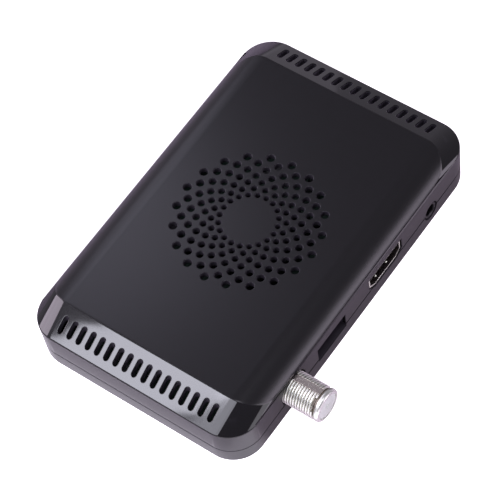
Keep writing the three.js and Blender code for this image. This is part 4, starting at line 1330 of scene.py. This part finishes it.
# Each softbox: its name, its direction and the width and height that it fills, in degrees, its
# radiance, its tint and its distance in metres
SOFTBOXES = (
    ("near_softbox", -35.7, 52, 4.6, 18, 10.0, (0.97, 0.97, 1.1), 1.5),
    ("near_softbox_dim", -14.15, 52, 22.5, 35, 4.2, (0.97, 0.97, 1.1), 1.5),
    ("far_softbox", -150.7, 12, 15.4, 20, 0.3, (1.05, 0.96, 1.12), 1.5),
    ("left_softbox", -70, 30, 30, 30, 5.0, (1.08, 0.95, 1.12), 1.5),
    ("between_softbox", -44, 42, 44, 44, 0.5, (1.0, 0.97, 1.12), 1.5),
    ("top_left_softbox", -113, 51, 20, 20, 1.75, (1.0, 0.98, 1.2), 0.25),
    ("low_left_softbox", -113, 31, 20, 19, 1.1, (1.0, 0.98, 1.2), 0.25),
    ("socket_softbox", 114, 9.5, 32, 27, 3.0, (1.05, 0.94, 1.12), 1.5),
    ("corner_softbox", 99, 27, 12, 14, 2.2, (1.0, 0.97, 1.06), 1.5),
    ("overhead_softbox", 75, 78, 16, 16, 4.5, (1.0, 0.97, 1.08), 1.5),
)
# The table's glow along an axis: from one place to another, the strength at the first and the last
TABLE_GLOWS = (
    ("Y", (COVER_LOW.y - 3.7 * MM, COVER_LOW.y - 2.0 * MM, 0.52, 1.44)),
    ("Y", (COVER_LOW.y + 4.6 * MM, COVER_LOW.y + 16.6 * MM, 1.0, 0.0)),
    ("X", (-45 * MM, 0, 0, 0.245)),
)
# Cards that the camera doesn't see, with their colour and glow, the place that their corners are
# measured from along X, and the corners in millimetres. The black ones, lying and standing beyond
# the sockets, give the long top edge its dark line, and the white one in front whitens the antenna
# socket's lower side
CARDS = (
    ("black_cloth", "black_velvet_cloth", "#050505", 0.0, SIDE, (26, -22, 0), (60, 250, 0.3)),
    ("black_flag", "black_velvet_flag", "#050505", 0.0, SIDE, (60, -22, 0), (61, 400, 11)),
    ("white_card", "white_card", "#ffffff", 1.4, 0, (22, -170, 0), (110, -68, 0.3)),
)
SIDE_TINT, NEAR_TINT = (1.15, 0.95, 1.13, 1), (1.0, 0.97, 1.07, 1)
SKY_TINT, SKY_GLOW = (1.04, 0.97, 1.12, 1.0), (0.0, 0.5, 0.5, 0.22)
GLOW_SOCKETS = ("From Min", "From Max", "To Min", "To Max")
# A faint light under the roof, so that the inside isn't quite black through the vents
FILL_RADIANCE, FILL_TINT, FILL_DROP = 0.9, (1.0, 0.97, 1.1), 2.4 * MM
FILL_SIZE = (60 * MM, 100 * MM)
# The photograph's camera, fitted to the vent ring and the slot rows
LENS, SENSOR = 166.18, 36
CAMERA_AIM = Vector((0.52, -7.3, 18.8)) * MM
CAMERA_AZIMUTH, CAMERA_ELEVATION, CAMERA_ROLL, CAMERA_DISTANCE = 44.904, 58.185, -11.48, 599.7 * MM
CAMERA_CLIP = (0.05, 20)


def direction(azimuth, elevation):
    """The unit vector from the receiver towards an azimuth and elevation in degrees."""
    azimuth, elevation = math.radians(azimuth), math.radians(elevation)
    flat = math.cos(elevation)
    return Vector((math.sin(azimuth) * flat, -math.cos(azimuth) * flat, math.sin(elevation)))


def soft_glow(tree, ends, source):
    """Strength that eases from one value to another between two places."""
    values = dict(zip(GLOW_SOCKETS, ends))
    links = {"Value": source}
    kind = {"interpolation_type": "SMOOTHSTEP"}
    return add_node(tree, "ShaderNodeMapRange", values, links, **kind).outputs["Result"]


def softbox(name, azimuth, elevation, width, height, radiance, tint, distance):
    """A soft light whose width and height are the angles that it fills, seen from the receiver."""
    outward = direction(azimuth, elevation)
    sides = [2 * distance * math.tan(math.radians(angle) / 2) for angle in (width, height)]
    place = Vector((CASE_X, 0, COVER_HIGH.z)) + outward * distance
    return soft_light(name, place, outward, sides, radiance, tint)


def soft_light(name, place, outward, sides, radiance, tint):
    """A rectangular lamp that faces away from outward and that the camera doesn't see."""
    data = bpy.data.lights.new(name, "AREA")
    data.shape = "RECTANGLE"
    data.size, data.size_y = sides
    data.energy = radiance * math.pi * data.size * data.size_y
    data.color = tint
    light = bpy.data.objects.new(name, data)
    bpy.context.scene.collection.objects.link(light)
    light.location = place
    light.rotation_euler = (-outward).to_track_quat("-Z", "Y").to_euler()
    light.visible_camera = False
    return light


class RECEIVER_OT_stage(Operator):
    """Lays the studio floor, hangs its lights and sets the camera"""

    bl_idname = "receiver.stage"
    bl_label = "Studio"

    def execute(self, context):
        scene = context.scene
        scene.view_settings.view_transform = "Standard"
        scene.view_settings.look = "None"
        # A white sweep that only the camera sees, as the photograph's white ground, and just above
        # it the grey table that the case mirrors
        plane = bpy.ops.mesh.primitive_plane_add
        white = tuple(scene.receiver_colours.floor)
        sweep = added(plane, size=PLANE_SIZE, location=(0, 0, SWEEP_Z))
        sweep.name = "studio_sweep"
        sweep.data.materials.append(glowing("white_paper_sweep", white, SWEEP_GLOW)[0])
        for ray in ("diffuse", "glossy", "transmission", "shadow"):
            setattr(sweep, f"visible_{ray}", False)
        table = added(plane, size=PLANE_SIZE, location=(0, 0, TABLE_Z))
        table.name = "studio_floor"
        material, tree, place, shader = glowing("grey_studio_table", srgb(TABLE_GREY), 0.0)
        # The table's own light is strongest at the foot of the near end, and weaker by the sockets
        across = add_node(tree, "ShaderNodeSeparateXYZ", links={"Vector": place})
        foot, near, side = [
            soft_glow(tree, ends, across.outputs[axis]) for axis, ends in TABLE_GLOWS
        ]
        front = add_node(tree, "ShaderNodeMath", links={0: foot, 1: near}, operation="MULTIPLY")
        both = {0: front.outputs["Value"], 1: side}
        glow = add_node(tree, "ShaderNodeMath", links=both, operation="MAXIMUM")
        tints = {MIX_A: SIDE_TINT, MIX_B: NEAR_TINT}
        tint = add_node(tree, "ShaderNodeMix", tints, {"Factor": near}, data_type="RGBA")
        tree.links.new(tint.outputs[MIX_RESULT], shader.inputs["Emission Color"])
        tree.links.new(glow.outputs["Value"], shader.inputs["Emission Strength"])
        table.data.materials.append(material)
        hidden = [table]
        for name, finish, hue, glow, start, *corners in CARDS:
            card = box(*(Vector((start, 0, 0)) + Vector(corner) * MM for corner in corners))
            card.name = name
            card.data.materials.append(glowing(finish, srgb(hue), glow)[0])
            hidden.append(card)
        for obj in hidden:
            obj.visible_camera = False

        world = bpy.data.worlds.new("studio")
        scene.world = world
        world.use_nodes = True
        tree = world.node_tree
        tree.nodes.clear()
        place = add_node(tree, "ShaderNodeTexCoord").outputs["Generated"]
        height = add_node(tree, "ShaderNodeSeparateXYZ", links={"Vector": place})
        strength = {"Strength": soft_glow(tree, SKY_GLOW, height.outputs["Z"])}
        sky = add_node(tree, "ShaderNodeBackground", {"Color": SKY_TINT}, strength)
        add_node(tree, "ShaderNodeOutputWorld", links={"Surface": sky.outputs["Background"]})

        for settings in SOFTBOXES:
            softbox(*settings)
        up, place = Vector((0, 0, 1)), (CASE_X, 0, COVER_HIGH.z - FILL_DROP)
        fill = soft_light("inside_fill", place, up, FILL_SIZE, FILL_RADIANCE, FILL_TINT)
        fill.visible_glossy = False

        data = bpy.data.cameras.new("camera")
        data.lens, data.sensor_width = LENS, SENSOR
        data.clip_start, data.clip_end = CAMERA_CLIP
        camera = bpy.data.objects.new("camera", data)
        scene.collection.objects.link(camera)
        outward = direction(CAMERA_AZIMUTH, CAMERA_ELEVATION)
        camera.location = CAMERA_AIM + outward * CAMERA_DISTANCE
        turn = (-outward).to_track_quat("-Z", "Y").to_matrix().to_4x4()
        roll = Matrix.Rotation(math.radians(CAMERA_ROLL), 4, "Z")
        camera.rotation_euler = (turn @ roll).to_euler()
        scene.camera = camera
        return {"FINISHED"}


class RECEIVER_PT_panel(Panel):
    """Lists the receiver's pieces, sizes and colours"""

    bl_idname = "RECEIVER_PT_panel"
    bl_label = "Satellite receiver"
    bl_space_type = "VIEW_3D"
    bl_region_type = "UI"
    bl_category = "Receiver"

    def draw(self, context):
        layout = self.layout
        for operator in OPERATORS:
            layout.operator(operator.bl_idname)
        for group in (context.scene.receiver_sizes, context.scene.receiver_colours):
            column = layout.column(align=True)
            for name in group.__annotations__:
                column.prop(group, name)


OPERATORS = (
    RECEIVER_OT_top_cover,
    RECEIVER_OT_base_cover,
    RECEIVER_OT_antenna_socket,
    RECEIVER_OT_usb_socket,
    RECEIVER_OT_hdmi_socket,
    RECEIVER_OT_jacks,
    RECEIVER_OT_standby_button,
    RECEIVER_OT_screws,
    RECEIVER_OT_feet,
    RECEIVER_OT_board,
    RECEIVER_OT_stage,
)
CLASSES = (ReceiverSizes, ReceiverColours, *OPERATORS, RECEIVER_PT_panel)


def register():
    for cls in CLASSES:
        bpy.utils.register_class(cls)
    bpy.types.Scene.receiver_sizes = PointerProperty(type=ReceiverSizes)
    bpy.types.Scene.receiver_colours = PointerProperty(type=ReceiverColours)


def unregister():
    del bpy.types.Scene.receiver_sizes
    del bpy.types.Scene.receiver_colours
    for cls in reversed(CLASSES):
        bpy.utils.unregister_class(cls)


def main():
    register()
    bpy.ops.receiver.top_cover()
    bpy.ops.receiver.base_cover()
    bpy.ops.receiver.antenna_socket()
    bpy.ops.receiver.usb_socket()
    bpy.ops.receiver.hdmi_socket()
    bpy.ops.receiver.jacks()
    bpy.ops.receiver.standby_button()
    bpy.ops.receiver.screws()
    bpy.ops.receiver.feet()
    bpy.ops.receiver.board()
    bpy.ops.receiver.stage()


if __name__ == "__main__":
    main()
